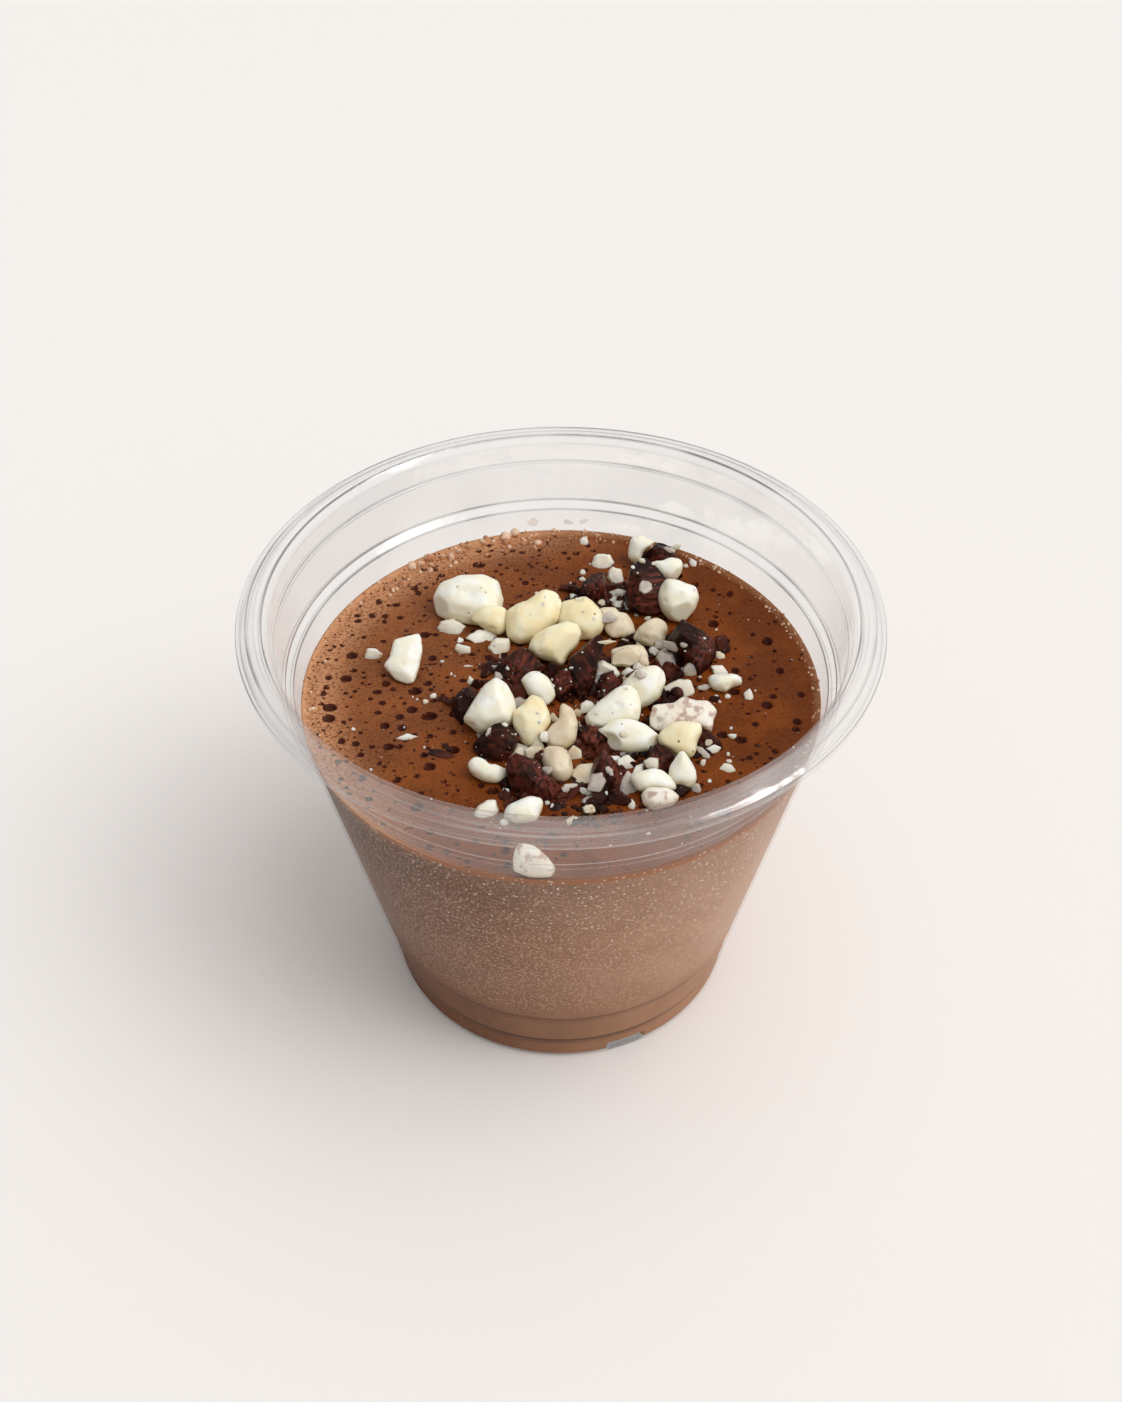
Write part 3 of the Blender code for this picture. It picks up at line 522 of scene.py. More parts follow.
def chocolate(name, dust=0.0):
    """Dark chocolate with fine ridges, lighter along them and in patches as painted light on lit faces, here and
    there dusted with pale specks.
    """
    finish = Finish(name, Roughness=0.28, Specular_IOR_Level=0.14)
    patches = finish.between(finish.noise(5.0, 2.0), 0.4, 0.62)
    # Painted light: lighter reddish brown along the raised ridges and in patches, standing in for lit faces.
    painted_lit_streaks = finish.between(finish.attribute("grain"), -0.7, 0.8)
    light = finish.math("MULTIPLY", painted_lit_streaks, finish.math("ADD", finish.math("MULTIPLY", patches, 0.75), 0.15))
    colour = finish.mix(light, srgb(20, 4, 2), srgb(118, 57, 42))
    spots = finish.between(finish.cells(1.1), 0.16, 0.08)
    colour = finish.mix(finish.math("MULTIPLY", spots, dust), colour, srgb(196, 164, 146))
    normal = finish.bump(finish.noise(0.5, 3.0), 0.04)
    return finish.use(Base_Color=colour, Normal=normal)


def smear_of_mousse():
    """A thin tan smear on the wall."""
    finish = Finish("smear", Roughness=0.4, Alpha=0.25)
    shade = finish.between(finish.noise(0.8, 2.0), 0.4, 0.6)
    return finish.use(Base_Color=finish.mix(shade, srgb(252, 240, 228), srgb(240, 214, 190)))


def paper_floor():
    """A plain pale matt floor."""
    finish = Finish("pale floor", Roughness=0.9, Base_Color=srgb(244, 240, 237))
    return finish.material


# ---------------------------------------------------------------- cup
def cup_profile():
    """The cup's outer side, from the lip's free edge down to its underside.

    Each corner is (radius, height, how dark and how bright it shows as a line of painted shade and painted gleam).
    """
    lip_edge = RIM_RADIUS - WALL
    lip_top = CUP_HEIGHT - WALL
    outer_top = lip_top - LIP_FALL
    lip = [
        (lip_edge - SKIRT_LEAN, outer_top - LIP_SKIRT, 0.3, 0.5),
        (lip_edge, outer_top - LIP_SHOULDER_FALL, 1.35, 0.5),
        (lip_edge - LIP_SHOULDER_WIDTH, outer_top, 0.1, 0.6),
        (LIP_RIDGE_RADIUS, outer_top + LIP_RIDGE, 0.5, 0.4),
    ]
    for (reach, fall), line in zip(LIP_ROOT_CURVE, ((0.1, 0.3), (0.8, 0.5))):
        lip.append((LIP_ROOT_RADIUS + reach, lip_top - fall, *line))
    return lip + [
        (COLLAR_TOP_RADIUS, lip_top - COLLAR_TOP_FALL, 0.1, 0.3),
        (COLLAR_BEAD_RADIUS + COLLAR_BEAD_OUT, COLLAR_BEAD_HEIGHT + COLLAR_BEAD_HALF, 0.4, 0.6),
        (COLLAR_BEAD_RADIUS - COLLAR_BEAD_IN, COLLAR_BEAD_HEIGHT - COLLAR_BEAD_HALF, 0.2, 0.5),
        (COLLAR_FOOT_RADIUS, COLLAR_FOOT_HEIGHT, 0.6, 0.9),
        (LEDGE_RADIUS, LEDGE_HEIGHT, 0.6, 0.4),
        (STEP_RADIUS, STEP_HEIGHT, 0.0, 0.3),
        (STEP_RADIUS - STEP_DEPTH, STEP_HEIGHT - STEP_DEPTH, 0.0, 0.0),
        (BAND_RADIUS, BAND_HEIGHT, 0.0, 0.3),
        (BAND_RADIUS - GROOVE_DEPTH, BAND_HEIGHT - GROOVE_DEPTH, 0.1, 0.0),
        (FOOT_RADIUS, NOTCH_HEIGHT + NOTCH_EDGE, 0.0, 0.0),
        (FOOT_RADIUS, FOOT_CORNER, 0.1, 0.1),
        (FOOT_RADIUS - FOOT_CORNER, 0.0, 0.2, 0.1),
        (STANDING_RING_INSIDE, 0.0, 0.2, 0.1),
        (PANEL_RADIUS, PANEL_RISE, 0.2, 0.1),
        (0.0, PANEL_RISE, 0.0, 0.0),
    ]


def cup_outside():
    """The cup's outer side as (radius, height)."""
    return [corner[:2] for corner in cup_profile()]


def offset_inwards(outside, distance):
    """The same line moved to its inner side by a distance, with mitred corners."""
    moved = []
    for number, (radius, height) in enumerate(outside):
        here = Vector((radius, height))
        sides = []
        if number > 0:
            sides.append((here - Vector(outside[number - 1])).normalized())
        if number < len(outside) - 1:
            sides.append((Vector(outside[number + 1]) - here).normalized())
        normals = [Vector((side.y, -side.x)) for side in sides]
        mitre = sum(normals, Vector((0.0, 0.0))).normalized()
        reach = distance / mitre.dot(normals[0])
        moved.append(tuple(here + mitre * reach))
    moved[-1] = (0.0, moved[-1][1])
    return moved


def lines_seen(profile, kind, flat_share):
    """How clearly each point of the rounded profile shows as a line, from that column of it."""
    made = [0.0]
    for corner in profile[1:-1]:
        flat = flat_share * smooth_step(LEDGE_HEIGHT - 1.0, LEDGE_HEIGHT - 0.2, corner[1])
        made += [flat] + [max(corner[kind], flat)] * (CORNER_STEPS - 1) + [flat]
    return np.array(made + [0.0])


def rounded(line, reach):
    """The line with a short curve in place of each corner."""
    made = [Vector(line[0])]
    for before, corner, after in zip(line, line[1:], line[2:]):
        corner = Vector(corner)
        ends = []
        for other in (Vector(before), Vector(after)):
            away = other - corner
            ends.append(corner + away.normalized() * min(reach, away.length * 0.45))
        for step in range(CORNER_STEPS + 1):
            share = step / CORNER_STEPS
            made.append(ends[0].lerp(corner, share).lerp(corner.lerp(ends[1], share), share))
    made.append(Vector(line[-1]))
    return made


def notch_press(points):
    """How far each point is pressed in by the foot's notches, from 0 to 1."""
    turns = np.degrees(np.arctan2(points[..., 1], points[..., 0]))
    radii = np.hypot(points[..., 0], points[..., 1])
    press = np.zeros_like(radii)
    for number in range(NOTCH_COUNT):
        off = (turns - NOTCH_TURN - number * 360 / NOTCH_COUNT + 180) % 360 - 180
        across = np.abs(np.radians(off)) * FOOT_RADIUS
        press = np.maximum(press, smooth_step(NOTCH_WIDTH / 2 + NOTCH_EDGE, NOTCH_WIDTH / 2, across))
    press *= smooth_step(NOTCH_HEIGHT + NOTCH_EDGE, NOTCH_HEIGHT, points[..., 2])
    press[radii < PANEL_RADIUS + 0.1] = 0.0
    return press


def notched(points, limit):
    """The points pressed in to a limit radius where the foot's notches are."""
    radii = np.hypot(points[..., 0], points[..., 1])
    kept = np.where(radii > limit, radii + (limit - radii) * notch_press(points), radii)
    share = np.divide(kept, radii, out=np.ones_like(radii), where=radii > 0)
    made = points.copy()
    made[..., :2] *= share[..., None]
    return made


def turned_rings(line, directions):
    """One ring of points for each (radius, height), at the directions given as (cos, sin)."""
    line = np.array([tuple(point) for point in line])
    rings = np.empty((len(line), len(directions), 3))
    rings[..., :2] = line[:, None, :1] * directions[None]
    rings[..., 2] = line[:, None, 1]
    return rings


def ring_faces(ring_count, steps, first=0):
    """The faces between successive rings whose points are numbered from first."""
    faces = []
    for ring in range(ring_count - 1):
        low = first + ring * steps
        for step in range(steps):
            after = (step + 1) % steps
            faces.append((low + step, low + steps + step, low + steps + after, low + after))
    return faces


def fan(ring_start, steps, middle, flip):
    """Triangles from a ring to a middle point."""
    faces = []
    for step in range(steps):
        pair = (ring_start + step, ring_start + (step + 1) % steps)
        faces.append((*(pair[::-1] if flip else pair), middle))
    return faces


def make_cup(finish):
    """The clear cup: lip, collar with its bead, ledge, tapering wall, stepped foot and notches."""
    outside = cup_outside()
    inside = offset_inwards(outside, WALL)
    turns = np.linspace(0, 2 * math.pi, CUP_STEPS, endpoint=False)
    directions = np.stack([np.cos(turns), np.sin(turns)], axis=1)
    inner = turned_rings(rounded(inside, CORNER_REACH)[-2::-1], directions)
    outer = turned_rings(rounded(outside, CORNER_REACH)[:-1], directions)
    limit = FOOT_RADIUS - NOTCH_DEPTH
    press = notch_press(np.concatenate([inner, outer]))
    outer_limit = FOOT_RADIUS - NOTCH_DEPTH * NOTCH_OUTER_SHARE
    rings = np.concatenate([notched(inner, limit - WALL), notched(outer, outer_limit)])
    count = len(rings)
    middles = [(0.0, 0.0, inside[-1][1]), (0.0, 0.0, outside[-1][1])]
    points = np.concatenate([rings.reshape(-1, 3), middles])
    first_middle = count * CUP_STEPS
    faces = ring_faces(count, CUP_STEPS)
    faces += fan(0, CUP_STEPS, first_middle, False)
    faces += fan((count - 1) * CUP_STEPS, CUP_STEPS, first_middle + 1, True)
    mesh = mesh_from("clear_cup", points, faces)
    backness = smooth_step(*FRONT_TO_BACK, rings[..., 1])
    collar = smooth_step(COLLAR_FOOT_HEIGHT + 0.5, COLLAR_FOOT_HEIGHT + 1.0, rings[..., 2])
    # Painted shade and painted gleam: dark and bright lines along the bends, a sheen over the lip and collar, more
    # gleam at the front right, and shade in the notches.
    for name, kind, flat_share in (("shade", 2, 0.0), ("gleam", 3, LIP_SHEEN)):
        shown = lines_seen(cup_profile(), kind, flat_share)
        shown = np.concatenate([shown[-2::-1], shown[:-1] * UNDERSIDE_SHARE])[:, None]
        fade = (1 - FRONT_SHARES[name]) * (1 - backness)
        if name == "gleam":
            rightness = (1 - backness) * smooth_step(0.0, 34.0, rings[..., 0])
            flat = np.minimum(shown, flat_share) * (1 + RIGHT_SHEEN * rightness)
            shown = np.maximum(shown * (1 - fade * collar), flat)
        else:
            shown = np.maximum(shown * (1 - fade), press * NOTCH_SHADE)
        stored = mesh.attributes.new(name, "FLOAT", "POINT")
        stored.data.foreach_set("value", np.concatenate([shown.ravel(), (0.0, 0.0)]))
    piece = new_piece("clear_cup", mesh, "clear_plastic", finish)
    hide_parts("cup")
    return piece


# ---------------------------------------------------------------- mousse
def disc_grid(cells):
    """A square grid pressed into a unit disc: its points, its faces and its border in turn."""
    steps = np.linspace(-1, 1, cells + 1)
    across, along = np.meshgrid(steps, steps)
    wide = np.abs(across) > np.abs(along)
    radius = np.where(wide, across, along)
    safe = np.where(radius == 0, 1.0, radius)
    turn = np.where(wide, along / safe * math.pi / 4, math.pi / 2 - across / safe * math.pi / 4)
    points = np.stack([radius * np.cos(turn), radius * np.sin(turn)], axis=-1).reshape(-1, 2)
    row = cells + 1
    faces = [
        (y * row + x, y * row + x + 1, (y + 1) * row + x + 1, (y + 1) * row + x)
        for y in range(cells)
        for x in range(cells)
    ]
    border = [x for x in range(cells)]
    border += [y * row + cells for y in range(cells)]
    border += [cells * row + cells - x for x in range(cells)]
    border += [(cells - y) * row for y in range(cells)]
    return points, faces, border


def chance_pits(chance):
    """Smaller pits scattered over the surface, most of them at the left and the back."""
    pits = []
    while len(pits) < PIT_COUNT:
        radius = 40.0 * math.sqrt(chance.random())
        turn = chance.uniform(0, 2 * math.pi)
        x, y = radius * math.cos(turn), radius * math.sin(turn)
        crowd = 0.4 + 0.6 * smooth_step(12.0, -20.0, x - 0.5 * y)
        if chance.random() > crowd:
            continue
        size = min(0.5 + chance.expovariate(1 / 0.32), 1.7)
        if any(math.hypot(x - pit[0], y - pit[1]) < (size + pit[2]) * 0.62 for pit in (*PITS, *pits)):
            continue
        pits.append((x, y, size * chance.uniform(0.9, 1.35), size * chance.uniform(0.9, 1.1)))
    return pits


def mousse_surface(flat, chance):
    """The mousse's surface over flat points, and where it is pitted, foamy and painted lighter at the left, glazed
    and by the wall.
    """
    flat = flat.copy()
    spread = np.concatenate([flat, np.zeros((len(flat), 1))], axis=1)
    radii = np.hypot(flat[:, 0], flat[:, 1])
    edge = radii.max() - radii
    height = SWELL * lumps(spread, 9.0, 1) + RIPPLE * lumps(spread, 2.2, 2)
    height *= smooth_step(0.0, 2.0, edge)
    height += MENISCUS_RISE * np.clip(1 - edge / MENISCUS_WIDTH, 0, 1) ** 2
    # Paler towards the left: real foam, and painted light as if the left were lit more.
    left = smooth_step(2.0, -34.0, flat[:, 0] - 0.4 * flat[:, 1])
    foam_and_light = np.clip(left * (0.22 + 1.0 * smooth_step(9.0, 0.5, edge)), 0, 1)
    right = smooth_step(-8.0, 10.0, flat[:, 0])
    glaze = right * smooth_step(3.4, 0.6, edge)
    line = smooth_step(EDGE_LINE, 0.1, edge)
    pit = np.zeros(len(flat))
    for x, y, width, length in (*PITS, *chance_pits(chance)):
        half = max(width, length) / 2
        near = np.nonzero((np.abs(flat[:, 0] - x) < 2 * half) & (np.abs(flat[:, 1] - y) < 2 * half))[0]
        if not len(near) or edge[near].min() < 0.3:
            continue
        away = (flat[near] - (x, y)) * (2 / width, 2 / length)
        reach = np.hypot(away[:, 0], away[:, 1])
        snapped = np.abs(reach - 1) < SNAP / half
        pull = np.where(snapped & (reach > 0), 1 / np.maximum(reach, 0.01), 1.0)
        flat[near] = (x, y) + away * pull[:, None] * (width / 2, length / 2)
        reach *= pull
        depth = PIT_DEPTH * half * np.clip(1 - reach ** 4, 0, 1)
        height[near] -= depth
        height[near] += PIT_RIM * half * np.exp(-((reach - 1.3) / 0.25) ** 2)
        pit[near] = np.maximum(pit[near], reach < 1 + 0.02)
    surface = np.concatenate([flat, MOUSSE_LEVEL + height[:, None]], axis=1)
    return surface, pit, foam_and_light, glaze, line


def mousse_line():
    """The mousse's side, as (radius, height), from its level down to the middle of the floor."""
    line = rounded(offset_inwards(cup_outside(), WALL - REACH_INTO_WALL), CORNER_REACH)
    top = MOUSSE_LEVEL + MENISCUS_RISE
    below = [point for point in line if point.y < top]
    above = line[len(line) - len(below) - 1]
    share = (top - below[0].y) / (above.y - below[0].y)
    return [below[0].lerp(above, share)] + below


def make_mousse(top_finish, side_finish, chance):
    """The mousse: an uneven pitted surface and a side that reaches just into the cup's wall."""
    line = mousse_line()
    unit, faces, border = disc_grid(MOUSSE_CELLS)
    surface, pit, foam_and_light, glaze, edge = mousse_surface(unit * line[0].x, chance)
    directions = unit[border]
    steps = len(border)
    limit = FOOT_RADIUS - NOTCH_DEPTH - WALL + REACH_INTO_WALL
    rings = notched(turned_rings(line[1:-1], directions), limit)
    first = len(surface)
    points = np.concatenate([surface, rings.reshape(-1, 3), [(0.0, 0.0, line[-1].y)]])
    top_count = len(faces)
    for step in range(steps):
        after = (step + 1) % steps
        faces.append((border[step], first + step, first + after, border[after]))
    faces += ring_faces(len(rings), steps, first)
    faces += fan(first + (len(rings) - 1) * steps, steps, len(points) - 1, True)
    mesh = mesh_from("mousse_fill", points, faces)
    piece = new_piece("mousse_fill", mesh, "mousse", top_finish, side_finish)
    side = [0] * top_count + [1] * (len(faces) - top_count)
    mesh.polygons.foreach_set("material_index", side)
    side_points = points[first:]
    blank = np.zeros(len(side_points))
    bubbly = smooth_step(MOUSSE_LEVEL - 11.0, MOUSSE_LEVEL - 3.0, side_points[:, 2])
    bubbly *= smooth_step(14.0, 30.0, side_points[:, 0])
    for name, values, below in (("foam_and_light", foam_and_light, blank), ("glaze", glaze, blank), ("edge", edge, bubbly)):
        stored = mesh.attributes.new(name, "FLOAT", "POINT")
        stored.data.foreach_set("value", np.concatenate([values, below]))
    in_pit = np.zeros(len(faces))
    in_pit[:top_count] = pit[np.array(faces[:top_count])].min(axis=1)
    mesh.attributes.new("pit", "FLOAT", "FACE").data.foreach_set("value", in_pit)
    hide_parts("mousse")
    return piece


# ---------------------------------------------------------------- large toppings
def fine_copy(node, voxel, smoothing):
    """A CAD node's shape as an even fine mesh."""
    rough = bpy.data.objects.new("rough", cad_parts[node].data.copy())
    bpy.context.scene.collection.objects.link(rough)
    remesh = rough.modifiers.new("remesh", "REMESH")
    remesh.mode = "VOXEL"
    remesh.voxel_size = voxel * MM
    smooth = rough.modifiers.new("smooth", "SMOOTH")
    smooth.factor = 0.5
    smooth.iterations = smoothing
    graph = bpy.context.evaluated_depsgraph_get()
    mesh = bpy.data.meshes.new_from_object(rough.evaluated_get(graph))
    bpy.data.objects.remove(rough)
    mesh.materials.clear()
    mesh.shade_smooth()
    return mesh


def softened(mesh, times):
    """Ease the mesh's edges."""
    shape = bmesh.new()
    shape.from_mesh(mesh)
    for _ in range(times):
        bmesh.ops.smooth_vert(shape, verts=shape.verts, factor=0.5, use_axis_x=True, use_axis_y=True, use_axis_z=True)
    shape.to_mesh(mesh)
    shape.free()


def chiselled(points, cuts, keep, chance, lean=(0.0, 0.0, 0.0), spread=1.0):
    """The points pressed flat onto a few planes, as a knife leaves a broken nut.

    The planes face any upward way, or about the way of lean where spread is small.
    """
    middle = points.mean(axis=0)
    for _ in range(cuts):
        facing = any_direction(chance) * spread + lean
        facing[2] = abs(facing[2])
        facing /= np.linalg.norm(facing)
        reach = (points - middle) @ facing
        over = np.maximum(reach - reach.max() * chance.uniform(*keep), 0)
        points = points - over[:, None] * facing
    return points


def scooped(points, normals, scoops, radii, depths, chance):
    """The points with shallow hollows that meet in sharp ridges, as brittle things break."""
    points = points.copy()
    facing = np.nonzero(normals[:, 2] > -0.3)[0]
    for _ in range(scoops):
        picked = facing[chance.randrange(len(facing))]
        radius = chance.uniform(*radii)
        centre = points[picked] + normals[picked] * (radius - chance.uniform(*depths))
        away = points - centre
        far = np.linalg.norm(away, axis=1)
        inside = far < radius
        points[inside] = centre + away[inside] / far[inside, None] * radius
    return points


def cut_flat(points, normals, cuts, depths, chance):
    """The points sliced flat at a few places, each slice as deep as chance says."""
    points = points.copy()
    facing = np.nonzero(normals[:, 2] > -0.3)[0]
    for _ in range(cuts):
        picked = facing[chance.randrange(len(facing))]
        across = normals[picked]
        reach = (points - points[picked]) @ across + chance.uniform(*depths)
        near = np.linalg.norm(points - points[picked], axis=1) < CUT_REACH
        over = np.where(near, np.maximum(reach, 0), 0)
        points -= over[:, None] * across
    return points


def make_nut(node, number, finish):
    """One large piece of chopped nut: waxy, with broken faces and uneven edges."""
    chance = random.Random(number)
    mesh = fine_copy(node, NUT_VOXEL, 8)
    points = points_of(mesh)
    normals = normals_of(mesh)
    grow = 0.3 + 0.14 * lumps(points, 3.2, number) + 0.04 * lumps(points, 1.3, number + 50)
    points = points + normals * grow[:, None]
    points = chiselled(points, 1, (0.8, 0.92), chance, sight_axes(points.mean(axis=0))[2], 0.8)
    points = scooped(points, normals, 2, (3.0, 7.0), (0.12, 0.32), chance)
    move_points(mesh, points)
    softened(mesh, 6)
    points = scooped(points_of(mesh), normals, 3, (0.9, 2.0), (0.08, 0.16), chance)
    move_points(mesh, points)
    piece = new_piece("chopped_" + node, mesh, "pale_nut", finish)
    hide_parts(node)
    return piece


def make_shard(node, number, finish):
    """One large shard of chocolate: broken faces, ridged along one direction and pitted."""
    chance = random.Random(100 + number)
    mesh = fine_copy(node, CHOCOLATE_VOXEL, 0)
    points = points_of(mesh)
    normals = normals_of(mesh)
    points = points + normals * 0.7
    points = chiselled(points, 5, (0.45, 0.7), chance, sight_axes(points.mean(axis=0))[2], 0.9)
    points = chiselled(points, 4, (0.6, 0.8), chance)
    points = scooped(points, normals, 1, (2.5, 5.0), (0.3, 0.6), chance)
    along = any_direction(chance)
    ridged = points - np.outer(points @ along, along) * 0.96
    grain = lumps(ridged, 0.5, number)
    grow = 0.09 * grain
    move_points(mesh, points + normals * grow[:, None])
    mesh.attributes.new("grain", "FLOAT", "POINT").data.foreach_set("value", grain)
    piece = new_piece("shard_of_" + node, mesh, "dark_chocolate", finish)
    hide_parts(node)
    return piece


def make_large_toppings(ivory, yellow, tan, stained, dark, dusted):
    """A finer piece in place of each topping that is a CAD node."""
    pieces = []
    yellow_nuts = ("nut_02", "nut_03", "nut_04", "nut_05", "nut_07", "nut_15")
    tan_nuts = ("nut_09", "nut_10", "nut_19", "nut_20", "nut_21")
    stained_nuts = ("nut_14", "nut_27", "nut_29")
    for number, node in enumerate(sorted(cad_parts)):
        if node.startswith("nut_"):
            finish = yellow if node in yellow_nuts else tan if node in tan_nuts else ivory
            finish = stained if node in stained_nuts else finish
            pieces.append(make_nut(node, number, finish))
        elif node.startswith("chocolate_"):
            finish = dusted if node == "chocolate_08" else dark
            pieces.append(make_shard(node, number, finish))
    return pieces


# ---------------------------------------------------------------- small toppings
class Heap:
    """Many small closed shapes joined into one piece."""

    def __init__(self):
        self.points = []
        self.faces = []
        self.count = 0

    def add(self, points, faces):
        """Add one shape."""
        self.points.append(points)
        self.faces += [tuple(corner + self.count for corner in face) for face in faces]
        self.count += len(points)

    def piece(self, name, slot, finish):
        """Make the piece, with its sharp edges left sharp."""
        mesh = mesh_from(name, np.concatenate(self.points), self.faces)
        mesh.set_sharp_from_angle(angle=SHARP_ANGLE)
        return new_piece(name, mesh, slot, finish)


def sight_axes(place):
    """Right, up and towards the camera, as the camera sees them at a place."""
    towards = np.array(CAMERA_PLACE) - place
    towards /= np.linalg.norm(towards)
    right = np.cross((0.0, 0.0, 1.0), towards)
    right /= np.linalg.norm(right)
    return right, np.cross(towards, right), towards


def surfaces_of(pieces):
    """What rays can hit: the surfaces of these pieces, in millimetres."""
    points = []
    faces = []
    for piece in pieces:
        first = len(points)
        points += points_of(piece.data).tolist()
        faces += [tuple(corner + first for corner in face.vertices) for face in piece.data.polygons]
    return BVHTree.FromPolygons(points, faces)


def seen_at(surfaces, x, y):
    """Where the sight line through a point of the layout plane meets the topping or the mousse."""
    eye = Vector(CAMERA_PLACE)
    hit = surfaces.ray_cast(eye, Vector((x, y, LAYOUT_LEVEL)) - eye)[0]
    return np.array(hit if hit else (x, y, LAYOUT_LEVEL))


def seen_size(width, length, place):
    """Across and upright size, as seen, of something that wide and long on the layout plane."""
    towards = sight_axes(place)[2]
    return width, length * towards[2]


def fine_outline(corners, spacing=0.3):
    """The outline with its corners cut once and points about that far apart."""
    corners = np.asarray(corners, float)
    after = np.roll(corners, -1, axis=0)
    cut = np.stack([corners * 0.9 + after * 0.1, corners * 0.1 + after * 0.9], axis=1).reshape(-1, 2)
    made = []
    for start, end in zip(cut, np.roll(cut, -1, axis=0)):
        count = max(1, round(float(np.linalg.norm(end - start)) / spacing))
        made += [start + (end - start) * step / count for step in range(count)]
    return np.array(made)


def flake(outline, depth, crown, chance):
    """A flat-faced chip with that outline: points to the right, up and forward of its middle."""
    edge = fine_outline(outline)
    middle = edge.mean(axis=0)
    spread = np.concatenate([edge, np.zeros((len(edge), 1))], axis=1)
    rough = 1 + 0.07 * lumps(spread, 0.6, chance.randint(0, 999))
    tilt = np.array([chance.uniform(-0.25, 0.25), chance.uniform(-0.25, 0.25)])
    shift = np.array([chance.uniform(-0.12, 0.12), chance.uniform(-0.12, 0.12)]) * np.ptp(edge, axis=0)
    loops = []
    for forward, share in ((-1.0, 0.6), (-0.4, 0.94), (0.0, 1.0), (0.6, 0.9), (1.0, 0.62)):
        reach = (crown if forward > 0 else depth) * forward
        flat = middle + (edge - middle) * (rough[:, None] * share) + shift * (forward > 0.9)
        lean = (flat - middle) @ tilt * (0.5 + 0.5 * forward)
        loops.append(np.concatenate([flat, (reach + lean)[:, None]], axis=1))
    steps = len(edge)
    ends = [np.append(middle, -depth), loops[-1].mean(axis=0) + (0.0, 0.0, 0.04)]
    points = np.concatenate(loops + [np.array(ends)])
    faces = [face[::-1] for face in ring_faces(len(loops), steps)]
    faces += fan(0, steps, len(points) - 2, True)
    faces += fan((len(loops) - 1) * steps, steps, len(points) - 1, False)
    return points, faces


def angular_outline(width, height, turn, chance):
    """An uneven many-cornered outline of that size."""
    count = chance.randint(5, 8)
    corners = []
    for number in range(count):
        angle = (number + chance.uniform(-0.28, 0.28)) / count * 2 * math.pi
        reach = chance.uniform(0.88, 1.3)
        corners.append((math.cos(angle) * width / 2 * reach, math.sin(angle) * height / 2 * reach))
    tilt = math.radians(turn)
    spin = np.array([[math.cos(tilt), math.sin(tilt)], [-math.sin(tilt), math.cos(tilt)]])
    return np.array(corners) @ spin


def set_down(local, place, sunk):
    """Points given right, up and forward of a place, as the camera sees it, sunk away from it."""
    right, up, towards = sight_axes(place)
    centre = place - towards * sunk
    return centre + local @ np.array([right, up, towards])


def add_chips(heap, rows, surfaces, chance, thickness=0.6):
    """Add a chip for each row of x, y, width, length and turn."""
    for x, y, width, length, turn in rows:
        place = seen_at(surfaces, x, y)
        across, upright = (CHIP_GROWTH * size for size in seen_size(width, length, place))
        thick = thickness * min(across, upright)
        outline = angular_outline(across, upright, turn, chance)
        points, faces = flake(outline, thick * 0.6, thick * 0.5, chance)
        heap.add(set_down(points, place, -0.1 * thick), faces)


def add_outlined(heap, outline, surfaces, chance):
    """Add a chip whose outline is drawn on the layout plane."""
    middle = np.mean(outline, axis=0)
    place = seen_at(surfaces, *middle)
    right, up, towards = sight_axes(place)
    eye = np.array(CAMERA_PLACE)
    flat = []
    for x, y in outline:
        ray = np.array((x, y, LAYOUT_LEVEL)) - eye
        met = eye + ray * ((place - eye) @ towards) / (ray @ towards) - place
        flat.append((met @ right, met @ up))
    thick = 0.5 * min(np.ptp(np.array(flat), axis=0))
    points, faces = flake(flat, thick * 0.7, thick * 0.5, chance)
    heap.add(set_down(points, place, -0.1 * thick), faces)


def crumb_shape():
    """A rough ball of unit radius: its points and faces."""
    shape = bmesh.new()
    bmesh.ops.create_icosphere(shape, subdivisions=2, radius=1.0)
    points = np.array([tuple(point.co) for point in shape.verts])
    faces = [tuple(corner.index for corner in face.verts) for face in shape.faces]
    shape.free()
    return points, faces


def crumb(ball, size, chance):
    """An uneven crumb with flat broken sides."""
    stretch = np.array([chance.uniform(0.7, 1.25), chance.uniform(0.7, 1.25), chance.uniform(0.5, 0.9)])
    return chiselled(ball, 6, (0.5, 0.85), chance) * stretch * size / 2


def drop(surfaces, x, y):
    """The top of what lies at a place, seen from straight above."""
    hit = surfaces.ray_cast(Vector((x, y, CUP_HEIGHT)), Vector((0, 0, -1)))[0]
    return np.array(hit) if hit else None


def scatter(heap, count, sizes, spread, highest, surfaces, ball, chance):
    """Drop crumbs of random sizes around the heap, up to a highest level."""
    smallest, mean = sizes
    for _ in range(count):
        x = chance.gauss(HEAP_CENTRE[0], spread[0])
        y = chance.gauss(HEAP_CENTRE[1], spread[1])
        size = smallest + min(chance.expovariate(1 / mean), 3 * mean)
        if math.hypot(x, y) > 39.0:
            continue
        place = drop(surfaces, x, y)
        if place is not None and place[2] < highest:
            heap.add(crumb(ball, size, chance) + place + (0, 0, size * 0.1), CRUMB_FACES)


